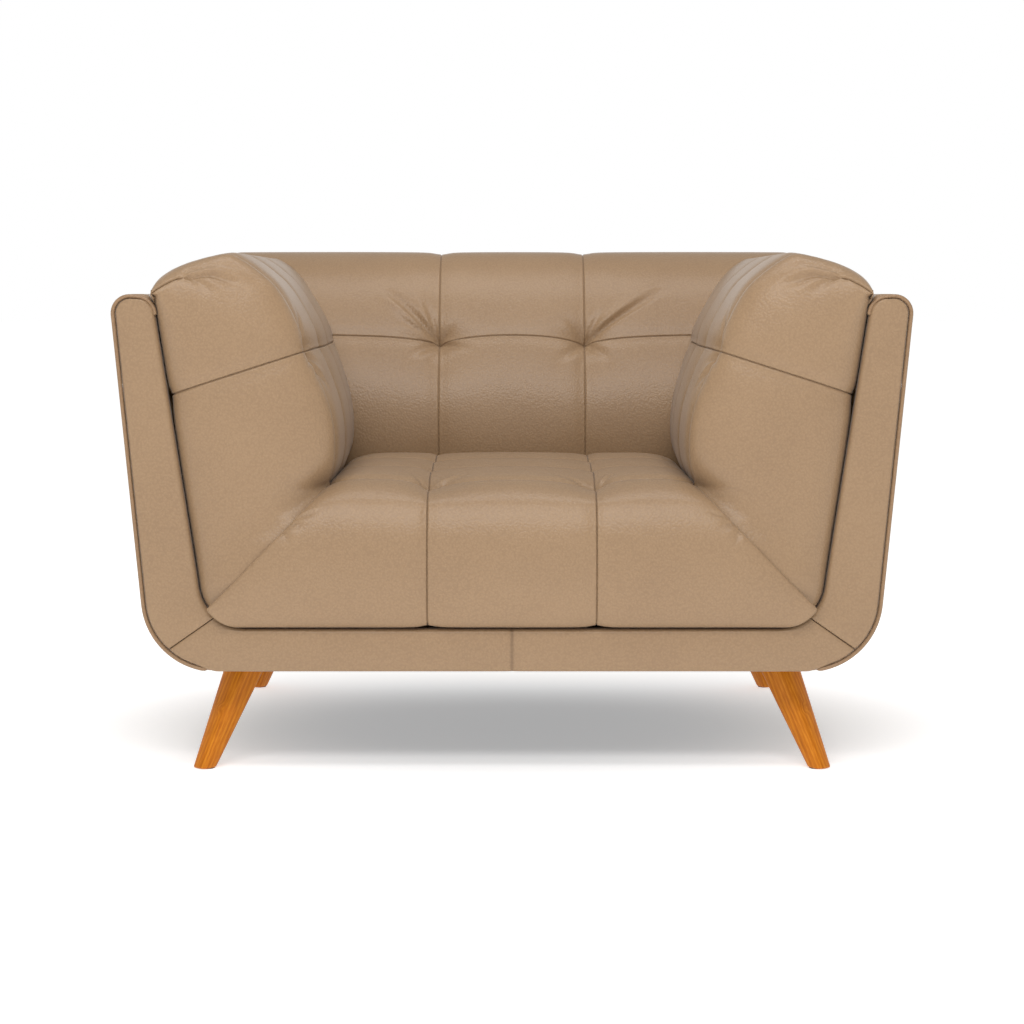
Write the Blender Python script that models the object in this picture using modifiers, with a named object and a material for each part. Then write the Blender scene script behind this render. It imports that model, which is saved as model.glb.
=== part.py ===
"""Upholstered armchair: a leather shell with tufted pads on four splayed wooden legs.

Units are metres, +Z is up and the chair faces -Y. The origin is on the floor, under the middle of the
chair's box. "left" and "right" are as seen by someone who faces the chair, so left is -X.
"""
import math

import bmesh
import bpy
from mathutils import Matrix, Vector

# ---------------------------------------------------------------- driving dimensions
DEPTH = 0.885            # from the front of the seat's fascia to the top of the outer back
SHELL_BOTTOM = 0.157     # underside of the shell, which is also the leg and glide height
SHELL_TOP = 0.714        # level top of the outer arms and outer back
ARM_X = 0.585            # half of the width over the arm tops
ARM_X_HEIGHT = 0.680     # height at which that width is measured
ARM_LEAN = 0.0895        # how far the outer side moves out per metre of height
SHELL_CORNER = 0.110     # radius of the shell's bottom corners
SHELL_TOP_CORNER = 0.028

FRONT_FACE = -0.420      # front of the padded border
BORDER_DEPTH = 0.022
BORDER_BASE_TOP = 0.222  # upper edge of the border under the seat
LIP_X = 0.520            # half of the width between the borders' inner edges, at LIP_HEIGHT
LIP_HEIGHT = 0.679
LIP_LEAN = 0.147
LIP_CORNER = 0.072

PANEL = 0.008            # padded leather panel on the outer arms and outer back
LEATHER = 0.0016         # leather skin over the foams
GAP = 0.0003             # clearance between pieces that touch
SKIN_ROOM = 0.0025       # foam stands this far inside the surface that the leather shows
WELT_RADIUS = 0.003
WELT_START = -76.0       # angle on the bottom corner where the welt comes out of the base

REAR_TOP = DEPTH / 2     # the outer back leans between these two
REAR_BOTTOM = 0.408
PAD_JOINT = 0.702        # x + z along the sloping joint between seat and arm
JOINT_ROOM = 0.0035

LUMBER = 0.024           # thickness of the base rails
POST = 0.0355            # width of the posts and the arm rails
POST_INSET = 0.0135      # from the shell's outer side to a post
FRAME_TOP = 0.692
FRAME_FLOOR = 0.232      # where the posts stand on the side rails
RAIL_TOP = 0.219
RAIL_INSET = 0.013       # from the outer back to the rear rail
BLOCK_BOTTOM = 0.169
BLOCK_TOP = 0.1985
BOARD = 0.006            # plywood boards behind the foams

LEG_TOP = 0.1567
LEG_X = 0.4045           # middle of a leg's top
LEG_SPLAY_X = 0.371      # movement to the side per metre of height, and to the front or rear
LEG_SPLAY_Y = 0.360
LEG_TOP_RADIUS = 0.0335
LEG_FOOT_RADIUS = 0.0205
LEG_PLACES = (("front", -0.2925, -1), ("rear", 0.340, 1))  # top's middle in Y, direction of its splay
GLIDE_HEIGHT = 0.005
GLIDE_RADIUS = 0.011
BOLT_RADIUS = 0.004
BOLT_BOTTOM = 0.127
BOLT_TOP = 0.1965

SPRING_COUNT = 4
SPRING_PITCH = 0.150     # between neighbouring springs
SPRING_WIRE = 0.0019
SPRING_LOOPS = 13
SPRING_END_HEIGHT = 0.2250
SPRING_CROWN = 0.028


# ---------------------------------------------------------------- scene and materials
def clear_scene():
    """Remove every object, so that the script starts from nothing."""
    for thing in list(bpy.data.objects):
        bpy.data.objects.remove(thing, do_unlink=True)


def make_collection(name):
    """A new collection linked to the scene."""
    group = bpy.data.collections.new(name)
    bpy.context.scene.collection.children.link(group)
    return group


def linear(channel):
    """One sRGB channel, 0 to 255, as a linear value."""
    value = channel / 255.0
    return value / 12.92 if value <= 0.04045 else ((value + 0.055) / 1.055) ** 2.4


def make_material(name, rgb, roughness, metallic=0.0):
    """A Principled material from an sRGB colour."""
    material = bpy.data.materials.new(name)
    material.use_nodes = True
    shader = material.node_tree.nodes["Principled BSDF"]
    shader.inputs["Base Color"].default_value = (*[linear(c) for c in rgb], 1.0)
    shader.inputs["Roughness"].default_value = roughness
    shader.inputs["Metallic"].default_value = metallic
    return material


clear_scene()
CHAIR = make_collection("upholstered_armchair")
CUTTERS = make_collection("cutters")

FINISH = {
    "leather": ("tan_leather", (176, 147, 118), 0.45, 0.0),
    "foam": ("cream_foam", (226, 210, 168), 0.95, 0.0),
    "beech": ("pale_beech", (205, 172, 128), 0.70, 0.0),
    "plywood": ("birch_plywood", (214, 187, 146), 0.75, 0.0),
    "leg_wood": ("honey_oiled_wood", (202, 124, 44), 0.45, 0.0),
    "spring_steel": ("spring_steel", (92, 94, 98), 0.40, 1.0),
    "zinc": ("zinc_plated_steel", (176, 178, 176), 0.32, 1.0),
    "cambric": ("black_cambric", (30, 30, 32), 0.95, 0.0),
    "nylon": ("brown_nylon", (70, 48, 32), 0.50, 0.0),
}


def finish(node, kind):
    """The node's own material in one of the chair's finishes."""
    name, rgb, roughness, metallic = FINISH[kind]
    return make_material(f"{node}_{name}", rgb, roughness, metallic)


# ---------------------------------------------------------------- mesh helpers
def new_object(name, form, kind):
    """A sub-part from a bmesh, with its own material, in the chair's collection."""
    mesh = bpy.data.meshes.new(name)
    form.to_mesh(mesh)
    form.free()
    part = bpy.data.objects.new(name, mesh)
    mesh.materials.append(finish(name, kind))
    CHAIR.objects.link(part)
    return part


def evaluated_mesh(part):
    """The mesh that the object's modifiers or curve settings give."""
    graph = bpy.context.evaluated_depsgraph_get()
    graph.update()
    return bpy.data.meshes.new_from_object(part.evaluated_get(graph))


def mirror_copy(part, name, kind):
    """The same piece on the other side of the chair, as an object of its own."""
    mesh = evaluated_mesh(part)
    mesh.transform(Matrix.Scale(-1.0, 4, Vector((1, 0, 0))))
    mesh.flip_normals()
    mesh.materials.clear()
    mesh.materials.append(finish(name, kind))
    mesh.name = name
    copy = bpy.data.objects.new(name, mesh)
    CHAIR.objects.link(copy)
    return copy


def box(name, kind, low, high, lean=None):
    """A rectangular piece between two corners; lean moves each vertex, as a leaning frame part needs."""
    form = bmesh.new()
    bmesh.ops.create_cube(form, size=1.0)
    low, high = Vector(low), Vector(high)
    middle, size = (low + high) / 2, high - low
    for vertex in form.verts:
        vertex.co = middle + Vector(c * s for c, s in zip(vertex.co, size))
        if lean:
            vertex.co = lean(vertex.co)
    return new_object(name, form, kind)


def prism_form(points, shift):
    """A flat outline of 3-D points made solid by moving a copy of it."""
    form = bmesh.new()
    face = form.faces.new([form.verts.new(point) for point in points])
    swept = bmesh.ops.extrude_face_region(form, geom=[face])
    moved = [item for item in swept["geom"] if isinstance(item, bmesh.types.BMVert)]
    bmesh.ops.translate(form, verts=moved, vec=shift)
    bmesh.ops.recalc_face_normals(form, faces=form.faces)
    return form


def prism(name, kind, outline, start, end):
    """A flat outline of (x, z) points made solid between two depths in Y."""
    form = prism_form([(x, start, z) for x, z in outline], (0.0, end - start, 0.0))
    return new_object(name, form, kind)


def loft(name, kind, rings):
    """A closed body through rings of as many points each, with flat ends."""
    form = bmesh.new()
    rows = [[form.verts.new(point) for point in ring] for ring in rings]
    count = len(rows[0])
    for near, far in zip(rows, rows[1:]):
        for i in range(count):
            j = (i + 1) % count
            form.faces.new((near[i], near[j], far[j], far[i]))
    form.faces.new(rows[0])
    form.faces.new(reversed(rows[-1]))
    bmesh.ops.recalc_face_normals(form, faces=form.faces)
    return new_object(name, form, kind)


def soften(part, width, segments=2, angle=40.0):
    """Round the piece's sharper edges."""
    bevel = part.modifiers.new("soft_edges", "BEVEL")
    bevel.width = width
    bevel.segments = segments
    bevel.limit_method = "ANGLE"
    bevel.angle_limit = math.radians(angle)
    return part


def smooth(part, angle=35.0):
    """Shade a round piece smooth, apart from its sharp edges."""
    part.data.shade_smooth()
    part.data.set_sharp_from_angle(angle=math.radians(angle))
    return part


def skin_over(foam, name, keep):
    """A leather skin over the foam's faces that keep(centre, normal) picks."""
    form = bmesh.new()
    form.from_mesh(evaluated_mesh(foam))
    bare = [f for f in form.faces if not keep(f.calc_center_median(), f.normal)]
    bmesh.ops.delete(form, geom=bare, context="FACES")
    form.normal_update()
    for vertex, normal in [(v, v.normal.copy()) for v in form.verts]:
        vertex.co += normal * GAP * vertex.calc_shell_factor()
    cover = new_object(name, form, "leather")
    wall = cover.modifiers.new("leather", "SOLIDIFY")
    wall.thickness = LEATHER
    wall.offset = 1.0
    wall.use_even_offset = True
    return smooth(cover, 50.0)


def cut_away(part, name, form):
    """Subtract a bmesh from the piece, through a hidden cutter."""
    mesh = bpy.data.meshes.new(name)
    form.to_mesh(mesh)
    form.free()
    cutter = bpy.data.objects.new(name, mesh)
    CUTTERS.objects.link(cutter)
    cutter.hide_render = True
    cutter.display_type = "WIRE"
    cut = part.modifiers.new(name, "BOOLEAN")
    cut.operation = "DIFFERENCE"
    cut.solver = "EXACT"
    cut.object = cutter


def cylinder_form(centre, radius, bottom, top, segments=16):
    """An upright cylinder between two heights."""
    form = bmesh.new()
    bmesh.ops.create_cone(
        form, cap_ends=True, segments=segments, radius1=radius, radius2=radius, depth=top - bottom,
        matrix=Matrix.Translation((centre[0], centre[1], (top + bottom) / 2)),
    )
    return form


def drill(part, name, centre, radius, bottom, top):
    """Cut an upright round hole in the piece."""
    cut_away(part, name, cylinder_form(centre, radius, bottom, top))


def wire(name, kind, points, radius):
    """A round wire or cord through the points, with closed ends, as a mesh."""
    curve = bpy.data.curves.new(name, "CURVE")
    curve.dimensions = "3D"
    curve.bevel_depth = radius
    curve.bevel_resolution = 2
    curve.use_fill_caps = True
    spline = curve.splines.new("POLY")
    spline.points.add(len(points) - 1)
    for slot, point in zip(spline.points, points):
        slot.co = (*point, 1.0)
    guide = bpy.data.objects.new(f"{name}_path", curve)
    CUTTERS.objects.link(guide)
    form = bmesh.new()
    form.from_mesh(evaluated_mesh(guide))
    bmesh.ops.remove_doubles(form, verts=form.verts, dist=0.00001)
    bmesh.ops.recalc_face_normals(form, faces=form.faces)
    bpy.data.objects.remove(guide, do_unlink=True)
    return smooth(new_object(name, form, kind), 60.0)


# ---------------------------------------------------------------- outlines of the chair
def shell_x(height):
    """The outer side's distance from the middle, on its straight part."""
    return ARM_X + (height - ARM_X_HEIGHT) * ARM_LEAN


def lip_x(height):
    """The borders' inner edge, on its straight part."""
    return LIP_X + (height - LIP_HEIGHT) * LIP_LEAN


def rear_y(height):
    """The outer back's rear face."""
    share = (height - SHELL_BOTTOM) / (SHELL_TOP - SHELL_BOTTOM)
    return REAR_BOTTOM + (REAR_TOP - REAR_BOTTOM) * share


def corner_centre(radius, floor, wall_x, lean):
    """Centre of the arc that joins a floor line to a leaning wall; wall_x is the wall at height 0."""
    slope = math.atan(lean)
    height = floor + radius
    return (wall_x + height * lean - radius / math.cos(slope), height)


def arc(centre, radius, start, end, steps):
    """Points on an arc, with angles in degrees from +X towards +Z."""
    angles = [math.radians(start + (end - start) * i / steps) for i in range(steps + 1)]
    return [(centre[0] + radius * math.cos(a), centre[1] + radius * math.sin(a)) for a in angles]


def outer_corner(start, end, steps, inset=0.0):
    """Part of the shell's bottom right corner, from -90 at the floor line to the wall."""
    centre = corner_centre(SHELL_CORNER, SHELL_BOTTOM, shell_x(0.0), ARM_LEAN)
    return arc(centre, SHELL_CORNER - inset, start, end, steps)


def inner_corner(start, end, steps, inset=0.0):
    """Part of the borders' inner corner."""
    centre = corner_centre(LIP_CORNER, BORDER_BASE_TOP, lip_x(0.0), LIP_LEAN)
    return arc(centre, LIP_CORNER - inset, start, end, steps)


WALL_ANGLE = -math.degrees(math.atan(ARM_LEAN))
LIP_ANGLE = -math.degrees(math.atan(LIP_LEAN))


def top_corner(steps, inset=0.0):
    """The rounded outer edge of an arm top."""
    height = SHELL_TOP - SHELL_TOP_CORNER
    centre = (shell_x(height) - SHELL_TOP_CORNER * 1.004, height)
    return arc(centre, SHELL_TOP_CORNER - inset, WALL_ANGLE, 90.0, steps)


# ---------------------------------------------------------------- wooden frame
def lean_with_wall(point):
    """Lean a side piece out with the shell."""
    return Vector((point.x + math.copysign(ARM_LEAN * (point.z - FRAME_FLOOR), point.x), point.y, point.z))


def lean_with_back(point):
    """Lean a rear piece back with the outer back, and out with the shell if it stands at the side."""
    out = lean_with_wall(point) if abs(point.x) > SHELL_CORNER else point
    return Vector((out.x, point.y + rear_y(point.z) - rear_y(FRAME_FLOOR), point.z))


def make_frame():
    """Base rails, corner blocks, posts, rails and plywood boards."""
    front = FRONT_FACE + BORDER_DEPTH + 0.001
    rear = rear_y(RAIL_TOP) - RAIL_INSET
    for name, y in (("base_front_rail", front), ("base_rear_rail", rear - LUMBER)):
        box(name, "beech", (-0.468, y, 0.175), (0.468, y + LUMBER, RAIL_TOP))

    post_high = shell_x(FRAME_FLOOR) - POST_INSET
    post_low = post_high - POST
    post_front = rear_y(FRAME_FLOOR) - 0.052
    for side, sign in (("left", -1), ("right", 1)):
        def span(low, high):
            return (min(sign * low, sign * high), max(sign * low, sign * high))

        x0, x1 = span(0.470, 0.512)
        box(f"base_{side}_rail", "beech", (x0, front, 0.200), (x1, rear, FRAME_FLOOR - GAP))
        x0, x1 = span(post_low, post_high)
        box(f"{side}_front_post", "beech", (x0, front, FRAME_FLOOR),
            (x1, front + 0.045, FRAME_TOP), lean_with_wall)
        box(f"{side}_back_post", "beech", (x0, post_front, FRAME_FLOOR),
            (x1, post_front + 0.040, FRAME_TOP), lean_with_back)

        def rail_lean(point):
            moved = lean_with_wall(point)
            if point.y > 0:
                moved.y = post_front + rear_y(point.z) - rear_y(FRAME_FLOOR) - GAP
            return moved

        box(f"{side}_arm_rail", "beech", (x0, front + 0.045 + GAP, 0.642), (x1, post_front, FRAME_TOP),
            rail_lean)

        def board_lean(point):
            y = rear_y(point.z) - 0.066 if point.y > 0 else point.y
            return Vector((point.x + math.copysign(lip_x(point.z) - lip_x(0), point.x), y, point.z))

        x0, x1 = span(lip_x(0) + 0.003, lip_x(0) + 0.003 + BOARD)
        box(f"{side}_arm_board", "plywood", (x0, front, 0.2345), (x1, post_front, 0.690), board_lean)
        for place, y, _ in LEG_PLACES:
            x0, x1 = span(0.362, 0.462)
            y0, y1 = (front + LUMBER + GAP, y + 0.040) if place == "front" else (y - 0.040, rear - LUMBER - GAP)
            block = box(f"{side}_{place}_corner_block", "beech", (x0, y0, BLOCK_BOTTOM), (x1, y1, BLOCK_TOP))
            drill(block, f"{side}_{place}_block_hole", (sign * LEG_X, y), BOLT_RADIUS + GAP,
                  BLOCK_BOTTOM - 0.002, BOLT_TOP + 0.0005)

    half = post_low + ARM_LEAN * (0.645 - FRAME_FLOOR) - GAP
    box("back_top_rail", "beech", (-half, post_front, 0.645), (half, post_front + 0.040, 0.690),
        lambda p: Vector((p.x, p.y + rear_y(p.z) - rear_y(FRAME_FLOOR), p.z)))
    half = post_low - 0.001
    board_rear = post_front - GAP
    box("back_board", "plywood", (-half, board_rear - BOARD, FRAME_FLOOR + 0.002),
        (half, board_rear, 0.690), lean_with_back)


# ---------------------------------------------------------------- seat springs
def spring_points(x, start, end):
    """A zig-zag wire from rail to rail that rises to a low crown in the middle."""
    steps = SPRING_LOOPS * 4
    reach = 0.024
    points = []
    for i in range(steps + 1):
        share = i / steps
        swing = math.sin(math.pi * SPRING_LOOPS * (share - 0.5 / SPRING_LOOPS))
        square = math.copysign(abs(swing) ** 0.6, swing)
        height = SPRING_END_HEIGHT + SPRING_CROWN * math.sin(math.pi * share)
        points.append((x + reach * square, start + (end - start) * share, height))
    return points


def spring_clip(name, x, y, opens):
    """A bent steel strap on the rail that holds a spring's end; opens is +1 towards the seat."""
    steps = 6
    radius = SPRING_WIRE + 0.0014
    outline = [(-opens * 0.011, -radius), (0.0, -radius)]
    for i in range(1, steps + 1):
        angle = math.pi * i / steps
        outline.append((-opens * radius * math.sin(angle), -radius * math.cos(angle)))
    outline.append((opens * 0.004, radius))
    outline[0] = (opens * 0.009, -radius)
    form = bmesh.new()
    width = 0.007
    rows = [[form.verts.new((x + s * width, y + a, SPRING_END_HEIGHT + b)) for a, b in outline] for s in (-1, 1)]
    for i in range(len(outline) - 1):
        form.faces.new((rows[0][i], rows[0][i + 1], rows[1][i + 1], rows[1][i]))
    if opens < 0:
        bmesh.ops.reverse_faces(form, faces=form.faces)
    clip = new_object(name, form, "zinc")
    wall = clip.modifiers.new("strap", "SOLIDIFY")
    wall.thickness = 0.0012
    wall.offset = 0.0
    return clip


def make_springs():
    """Zig-zag springs across the seat and the clips at their ends."""
    front = FRONT_FACE + BORDER_DEPTH + 0.012
    rear = rear_y(RAIL_TOP) - RAIL_INSET - LUMBER / 2
    for i in range(SPRING_COUNT):
        x = (i - (SPRING_COUNT - 1) / 2) * SPRING_PITCH
        wire(f"seat_spring_{i + 1}", "spring_steel", spring_points(x, front, rear), SPRING_WIRE)
        spring_clip(f"spring_clip_front_{i + 1}", x - 0.024, front, 1)
        spring_clip(f"spring_clip_rear_{i + 1}", x + 0.024, rear, -1)


# ---------------------------------------------------------------- foams and their leather
BACK_FRONT = [  # front of the back foam as (height, y), from the seat to the crown
    (0.270, 0.1225), (0.432, 0.1225), (0.540, 0.1350), (0.632, 0.1660), (0.700, 0.2030), (0.752, 0.2440),
]
BACK_CROWN = [(0.300, 0.7815), (0.350, 0.7825), (0.396, 0.7700), (0.421, 0.7450), (0.421, 0.7180)]
BACK_ROOM = 0.0090       # between the back foam and the arm foams, for both leathers


def back_space():
    """The room behind the arm pads, which the back pad fills, as a cutter."""
    (low, y_low), (high, y_high) = BACK_FRONT[0], BACK_FRONT[-1]
    outline = [(y_low - BACK_ROOM, low - 0.1)] + [(y - BACK_ROOM, z) for z, y in BACK_FRONT]
    outline += [(y_high + 0.2, high + 0.1), (y_high + 0.2, low - 0.1)]
    return prism_form([(0.1, y, z) for y, z in outline], (0.6, 0.0, 0.0))


def foam_edge_x(height):
    """Outer side of the arm and back foams, which bulge a little over the shell's top."""
    over = max(0.0, height - SHELL_TOP) * 0.05
    return lip_x(min(height, SHELL_TOP)) - SKIN_ROOM - over


def make_back():
    """Back foam between the outer arms, and its leather."""
    section = [(y, z) for z, y in BACK_FRONT] + BACK_CROWN
    rear_face = [0.712, 0.600, 0.440, 0.270]
    section += [(rear_y(z) - 0.068, z) for z in rear_face]
    shares = [-1.0, -0.96, -0.84, -0.5, 0.0, 0.5, 0.84, 0.96, 1.0]
    rings = []
    for share in shares:
        drop = 0.010 * max(0.0, (abs(share) - 0.84) / 0.16) ** 2
        rings.append([
            (share * foam_edge_x(z), y, z - (drop if z > SHELL_TOP else 0.0)) for y, z in section
        ])
    foam = loft("back_foam", "foam", rings)

    def on_show(centre, normal):
        front = normal.y < -0.2 and centre.z > 0.43
        crown = centre.z > 0.725 and abs(normal.x) < 0.9
        return (front or crown) and centre.y < 0.43

    skin_over(foam, "back_cover", on_show)


def arm_section():
    """The right arm foam's outline as (x, z, give); give is how far the front rounding moves a point."""
    line = PAD_JOINT + JOINT_ROOM
    corner = inner_corner(-32.7, LIP_ANGLE, 3, SKIN_ROOM)
    sides = [(x, z, 0.0) for x, z in corner]
    sides += [(foam_edge_x(z), z, 0.0) for z in (0.480, 0.690)]
    sides.append((0.5235, 0.730, 0.25))
    top = [(0.520, 0.746), (0.502, 0.7555), (0.459, 0.7670), (0.413, 0.7755), (0.376, 0.7660)]
    inner = [(0.345, 0.737), (0.318, 0.700), (0.296, 0.650), (0.273, 0.600), (0.256, 0.550), (0.2495, 0.505),
             (0.254, 0.462)]
    sides += [(x, z, 0.35 + 0.65 * i / 4) for i, (x, z) in enumerate(top)]
    sides += [(x, z, 1.0) for x, z in inner]
    sides.append((0.268, line - 0.268, 0.8))
    sides.append((0.340, line - 0.340, 0.3))
    return sides


def make_arms():
    """Arm foams with a rounded front, and their leather."""
    section = arm_section()
    count = len(section)
    normals = []
    for i in range(count):
        x0, z0, _ = section[i - 1]
        x1, z1, _ = section[(i + 1) % count]
        across = Vector((-(z1 - z0), x1 - x0)).normalized()
        normals.append(across)
    stations = [(-0.4255, 0.058), (-0.4195, 0.034), (-0.4040, 0.015), (-0.3780, 0.004), (-0.3450, 0.0),
                (-0.1000, 0.0)]
    line = PAD_JOINT + JOINT_ROOM
    rings = []
    for y, inset in stations:
        ring = []
        for (x, z, give), n in zip(section, normals):
            step = inset * give
            on_joint = abs(x + z - line) < 1e-6
            ring.append((x + step, y, line - x - step) if on_joint else (x + n.x * step, y, z + n.y * step))
        rings.append(ring)
    rings.append([(x, BACK_CROWN[0][0], z) for x, z, _ in section])
    foam = loft("right_arm_foam", "foam", rings)
    cut_away(foam, "back_space", back_space())
    mirror_copy(foam, "left_arm_foam", "foam")

    def on_show(centre, normal):
        sloping_joint = normal.x < -0.5 and normal.z < -0.5 and centre.x + centre.z < PAD_JOINT + 0.02
        outer_side = normal.x > 0.7 and centre.z < 0.70
        rear_end = centre.y > 0.11 and normal.y > 0.3
        return not (sloping_joint or outer_side or rear_end)

    cover = skin_over(foam, "right_arm_cover", on_show)
    mirror_copy(cover, "left_arm_cover", "leather")


def make_seat():
    """Seat foam with a padded fascia that hangs over the base, and its leather."""
    top = 0.4475
    front = -DEPTH / 2 + SKIN_ROOM
    base = BORDER_BASE_TOP + SKIN_ROOM
    roll = 0.062
    profile = [(-0.4000, base), (front + 0.006, base)]
    profile += [(front, 0.245), (front, top - roll - 0.006)]
    for i in range(1, 5):
        angle = math.pi / 2 * i / 4
        profile.append((front + roll * 1.25 * (1 - math.cos(angle)), top - roll + roll * math.sin(angle) - 0.0015))
    profile += [(-0.210, top), (-0.040, top - 0.001), (0.085, top - 0.006), (0.1175, top - 0.022)]
    profile += [(0.1175, 0.268), (-0.395, 0.268)]

    def half_width(y, z):
        width = PAD_JOINT - JOINT_ROOM - max(z, 0.268)
        if z < 0.268 or y < -0.395:
            centre = corner_centre(LIP_CORNER, BORDER_BASE_TOP, lip_x(0.0), LIP_LEAN)
            radius = LIP_CORNER - SKIN_ROOM
            rise = centre[1] - z
            if rise > 0:
                width = min(PAD_JOINT - JOINT_ROOM - z, centre[0] + math.sqrt(max(radius ** 2 - rise ** 2, 0.0)))
        return width

    rings = []
    for share in (-1.0, -0.93, -0.75, -0.4, 0.0, 0.4, 0.75, 0.93, 1.0):
        sink = 0.005 * max(0.0, (abs(share) - 0.4) / 0.6) ** 3
        rings.append([(share * half_width(y, z), y, z - (sink if z > 0.42 else 0.0)) for y, z in profile])
    foam = loft("seat_foam", "foam", rings)

    def on_show(centre, normal):
        side = abs(normal.x) > 0.5
        under = normal.z < -0.5 and centre.y > -0.402
        rear = normal.y > 0.8
        return not (side or under or rear)

    skin_over(foam, "seat_cover", on_show)


# ---------------------------------------------------------------- shell panels, borders and welts
def make_panels():
    """Outer arms, outer back and the dust cover under the seat."""
    profile = outer_corner(-90.0, WALL_ANGLE, 6) + [(shell_x(0.48) + 0.002, 0.48)] + top_corner(5)
    profile.append((0.536, SHELL_TOP))
    front = FRONT_FACE + BORDER_DEPTH + GAP
    form = bmesh.new()
    rows = []
    for share in (0.0, 0.5, 1.0):
        rows.append([
            form.verts.new((x, front + (rear_y(z) - PANEL - 0.0015 - front) * share, z)) for x, z in profile
        ])
    for near, far in zip(rows, rows[1:]):
        for i in range(len(profile) - 1):
            form.faces.new((near[i], near[i + 1], far[i + 1], far[i]))
    bmesh.ops.reverse_faces(form, faces=form.faces)
    panel = new_object("right_outer_arm", form, "leather")
    wall = panel.modifiers.new("padding", "SOLIDIFY")
    wall.thickness = PANEL - 0.0003
    wall.offset = -1.0
    wall.use_even_offset = True
    smooth(panel, 50.0)
    mirror_copy(panel, "left_outer_arm", "leather")

    half = outer_corner(-90.0, WALL_ANGLE, 6) + [(shell_x(0.48) + 0.002, 0.48)] + top_corner(5)
    outline = half + [(-x, z) for x, z in reversed(half)]
    back = prism("outer_back", "leather", outline, 0.0, -PANEL)
    for vertex in back.data.vertices:
        vertex.co.y += rear_y(vertex.co.z)

    sheet = box("dust_cover", "cambric", (-0.4365, front + 0.030, SHELL_BOTTOM),
                (0.4365, REAR_BOTTOM - 0.012, SHELL_BOTTOM + 0.0012))
    for side, sign in (("left", -1), ("right", 1)):
        for place, y, _ in LEG_PLACES:
            drill(sheet, f"{side}_{place}_cover_hole", (sign * LEG_X, y), 0.006,
                  SHELL_BOTTOM - 0.002, SHELL_BOTTOM + 0.004)


def make_borders():
    """Padded front border in three lengths with mitred corners, and the welts along its outer edge."""
    seam = 0.25
    room = 2 * WELT_RADIUS + 3 * GAP
    rear = FRONT_FACE + BORDER_DEPTH
    inner = inner_corner(-45.0 + seam, LIP_ANGLE, 4) + [(lip_x(0.665), 0.665)]
    crown = [(0.524, 0.690), (0.532, 0.702), (0.541, SHELL_TOP - room)]
    outer = outer_corner(-45.0 + seam, WALL_ANGLE, 4, room) + top_corner(4, room)
    strip = prism("right_border", "leather", inner + crown + list(reversed(outer)), FRONT_FACE, rear)
    soften(strip, 0.004)
    mirror_copy(strip, "left_border", "leather")

    inner = inner_corner(-90.0, -45.0 - seam, 4)
    outer = [(0.430, SHELL_BOTTOM)] + outer_corner(WELT_START - 6.0, -45.0 - seam, 4, room)
    half = outer + list(reversed(inner))
    outline = half + [(-x, z) for x, z in reversed(half)]
    soften(prism("base_border", "leather", outline, FRONT_FACE, rear), 0.004)

    path = outer_corner(WELT_START, WALL_ANGLE, 8, WELT_RADIUS) + top_corner(5, WELT_RADIUS)
    path += [(0.5385, SHELL_TOP - WELT_RADIUS - 0.001)]
    welt = wire("right_welt", "leather", [(x, FRONT_FACE + 0.0085, z) for x, z in path], WELT_RADIUS)
    mirror_copy(welt, "left_welt", "leather")


# ---------------------------------------------------------------- legs
def make_legs():
    """Four tapered legs that splay to the sides, their hanger bolts and glides."""
    height = LEG_TOP - GLIDE_HEIGHT - GAP
    for side, sign in (("left", -1), ("right", 1)):
        for place, y, way in LEG_PLACES:
            form = bmesh.new()
            bmesh.ops.create_cone(form, cap_ends=True, segments=4, radius1=LEG_FOOT_RADIUS,
                                  radius2=LEG_TOP_RADIUS, depth=height)
            ridges = [e for e in form.edges if abs(e.verts[0].co.z - e.verts[1].co.z) > height / 2]
            bmesh.ops.bevel(form, geom=ridges, offset=0.0105, segments=3, profile=0.5, affect="EDGES")
            for vertex in form.verts:
                drop = height / 2 - vertex.co.z
                shift = (sign * (LEG_X + drop * LEG_SPLAY_X), y + way * drop * LEG_SPLAY_Y, LEG_TOP - height / 2)
                vertex.co += Vector(shift)
            leg = smooth(new_object(f"{side}_{place}_leg", form, "leg_wood"), 40.0)
            drill(leg, f"{side}_{place}_leg_hole", (sign * LEG_X, y), BOLT_RADIUS + GAP,
                  BOLT_BOTTOM - 0.001, LEG_TOP + 0.002)

            bolt = cylinder_form((sign * LEG_X, y), BOLT_RADIUS, BOLT_BOTTOM, BOLT_TOP)
            smooth(new_object(f"{side}_{place}_hanger_bolt", bolt, "zinc"), 40.0)

            foot = (sign * (LEG_X + height * LEG_SPLAY_X), y + way * height * LEG_SPLAY_Y)
            glide = cylinder_form(foot, GLIDE_RADIUS, 0.0, GLIDE_HEIGHT, 20)
            smooth(new_object(f"{side}_{place}_glide", glide, "nylon"), 40.0)


make_frame()
make_springs()
make_back()
make_arms()
make_seat()
make_panels()
make_borders()
make_legs()
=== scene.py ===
"""Upholstered leather armchair: the looks of every piece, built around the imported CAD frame.

Units are metres, +Z is up and the chair faces -Y. Left and right are as seen by someone facing the chair.
"""
from __future__ import annotations

import logging
import math
from dataclasses import dataclass, field
from enum import Enum
from typing import Callable, Sequence

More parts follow.
